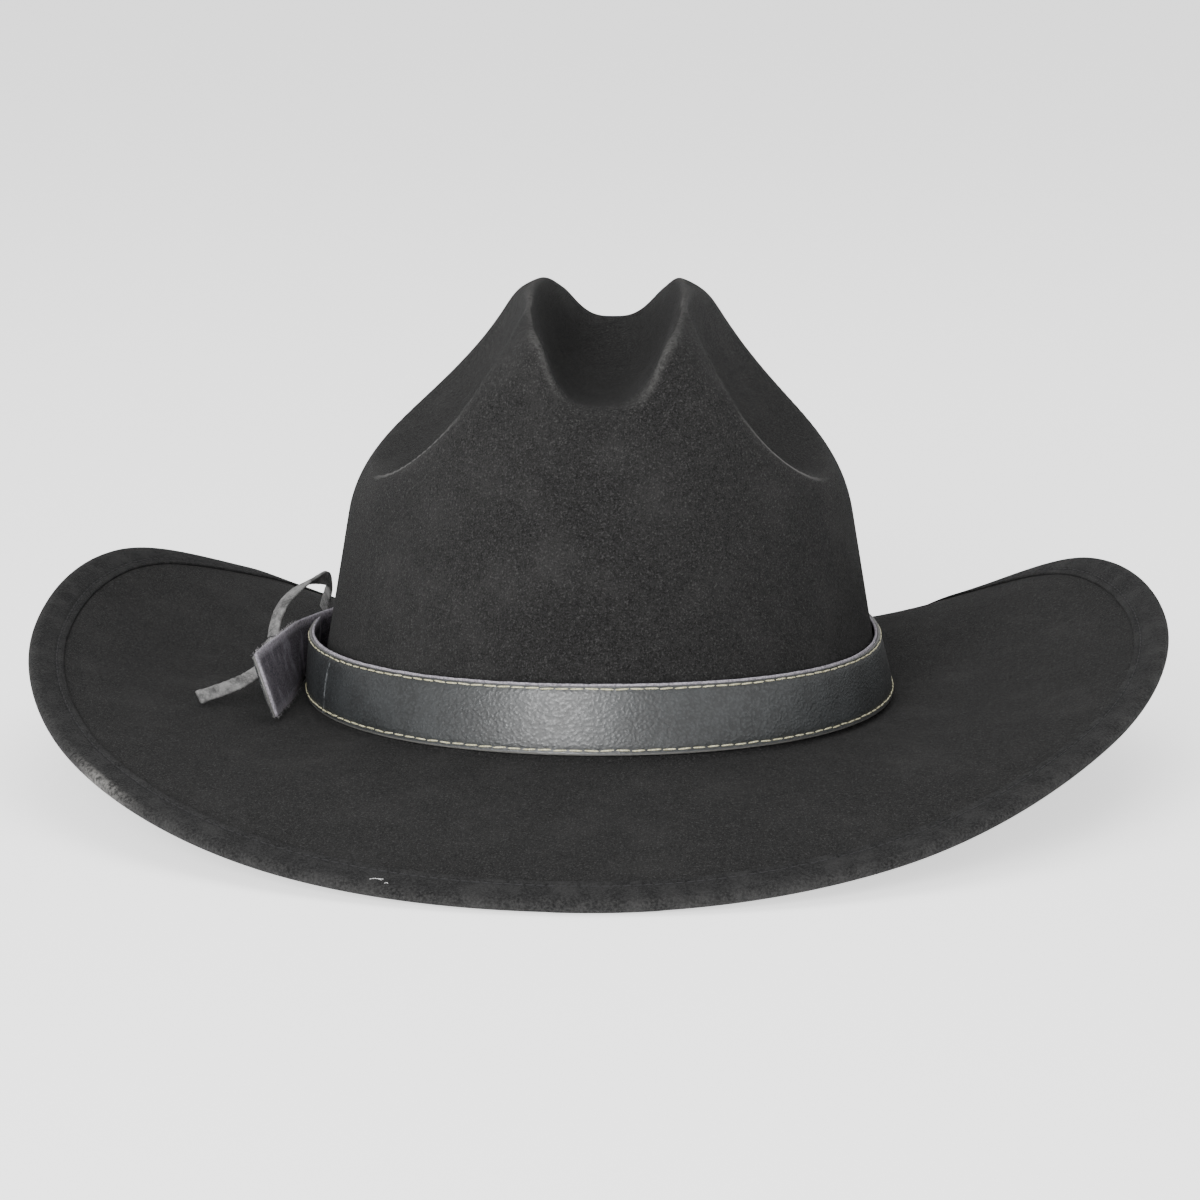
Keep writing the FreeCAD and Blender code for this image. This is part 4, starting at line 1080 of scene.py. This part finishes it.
label_rows = []
for index in range(25):
    aside = LABEL_WIDE * (index / 24 - 0.5)
    turn = back_turn(aside)
    stand = SWEAT_THICK + 0.5 + 0.25 * abs(index / 12 - 1) ** 3
    outline = [(height, 0.5) for height in (0.0, 0.4, 3.0, 5.5, 8.0, 10.6, LABEL_TALL)]
    outline += [(height, -0.5) for height in (10.6, 8.0, 5.5, 3.0, 0.4)]
    label_rows.append([inside_point(turn, stand + LABEL_THICK * side, LABEL_UP + height) * MM
                       for height, side in outline])
woven = Finish("woven_label", Roughness=0.85)
weave_uv = woven.add("ShaderNodeUVMap", {}, uv_map="surface").outputs["UV"]
weft, warp = (woven.add("ShaderNodeTexWave", {"Vector": weave_uv, "Scale": scale, "Distortion": 0.5},
                        bands_direction=way).outputs["Fac"] for way, scale in (("X", 900.0), ("Y", 700.0)))
yarn = woven.math("MULTIPLY", weft, warp)
label_material = woven.set(Base_Color=woven.mix(yarn, (0.42, 0.4, 0.36), (0.68, 0.66, 0.61)),
                           Normal=woven.bump(yarn, 0.5, 0.0002))
label = skin(label_rows)
closed_ends(label)
piece("blank_label", label, "hat", "label_fabric", label_material, "size_label")

# The ribbon bow: two loops of satin ribbon pulled in by a small cross band.
BOW_WIDE, BOW_TALL, BOW_UP, RIBBON = 18.0, 8.0, 8.0, 0.35


def ribbon_loop(side):
    """One loop of the bow: a flattened ring of ribbon, narrow at the middle and wide outside."""
    rows = []
    for step in range(24):
        angle = FULL_TURN * step / 24
        reach = BOW_WIDE / 2 * (0.5 - 0.5 * math.cos(angle))
        stand = 1.7 + 0.95 * math.sin(angle) * min(1.0, reach / 4)
        tall = 1.3 + (BOW_TALL / 2 - 1.3) * float(smooth_step(reach, 0.5, 8.0))
        turn = back_turn(side * reach)
        outward = 1 if math.sin(angle) > 0 else -1
        rows.append([inside_point(turn, SWEAT_THICK + stand + outward * depth, BOW_UP + tall * level) * MM
                     for level, depth in ((-1, 0), (-0.5, 0), (0, 0), (0.5, 0), (1, 0),
                                          (0.5, -RIBBON), (0, -RIBBON), (-0.5, -RIBBON))])
    return skin(rows, closed_along=True)


def cross_band():
    rows = []
    for step in range(16):
        angle = FULL_TURN * step / 16
        ring = []
        for level, thick in ((-1.3, 1.0), (0, 1.12), (1.3, 1.0), (0, 0.78)):
            turn = back_turn(level)
            ring.append(inside_point(turn, SWEAT_THICK + 1.7 + thick * 1.3 * math.cos(angle),
                                     BOW_UP + thick * 1.6 * math.sin(angle)) * MM)
        rows.append(ring)
    return skin(rows, closed_along=True)


ribbon = Finish("black_satin_ribbon", Roughness=0.35, Sheen_Weight=0.3)
ribs = ribbon.noise(2500, 2, 0.5, ribbon.stretched(1, 1, 0.15))
bow_satin = ribbon.set(Base_Color=ribbon.mix(ribs, (0.012, 0.012, 0.014), (0.035, 0.035, 0.038)),
                       Normal=ribbon.bump(ribs, 0.4, 0.0002))
bow = joined([ribbon_loop(1), ribbon_loop(-1), cross_band()])
piece("ribbon_bow", bow, "hat", "bow_satin", bow_satin, "sweatband_bow")


# ---- Pieces kept from the design ----
# The brim wire and its sleeve lie inside the fold, and the reed, its tape and the seam tape behind the
# sweatband. Their shapes stay; each gets its own finish.

def keep(node, material):
    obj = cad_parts[node]
    obj.data.materials.clear()
    obj.data.materials.append(material)


steel = Finish("drawn_spring_steel", Metallic=1.0)
drawn = steel.noise(900, 3, 0.5)
keep("brim_wire", steel.set(Base_Color=steel.mix(drawn, (0.4, 0.4, 0.41), (0.58, 0.58, 0.6)),
                            Roughness=steel.ramp(drawn, 0.3, 0.7, 0.28, 0.45)))
brass = Finish("rolled_brass", Metallic=1.0)
rolled = brass.noise(700, 3, 0.5, brass.stretched(0.2, 1, 1))
keep("wire_sleeve", brass.set(Base_Color=brass.mix(rolled, (0.5, 0.36, 0.14), (0.68, 0.52, 0.24)),
                              Roughness=brass.ramp(rolled, 0.3, 0.7, 0.25, 0.42)))
reed = Finish("black_reed", Roughness=0.45)
reed_grain = reed.noise(1200, 3, 0.5)
keep("sweatband_reed", reed.set(Base_Color=reed.mix(reed_grain, (0.018, 0.017, 0.017), (0.04, 0.038, 0.037)),
                                Normal=reed.bump(reed_grain, 0.3, 0.0003)))


def tape_finish(name):
    tape = Finish(name, Roughness=0.85)
    twill = tape.add("ShaderNodeTexWave", {"Vector": tape.place, "Scale": 520.0, "Distortion": 1.0},
                     bands_direction="DIAGONAL").outputs["Fac"]
    return tape.set(Base_Color=tape.mix(twill, (0.015, 0.015, 0.016), (0.05, 0.05, 0.053)),
                    Normal=tape.bump(twill, 0.5, 0.0003))


keep("reed_tape", tape_finish("reed_twill"))
keep("sweatband_seam_tape", tape_finish("seam_twill"))
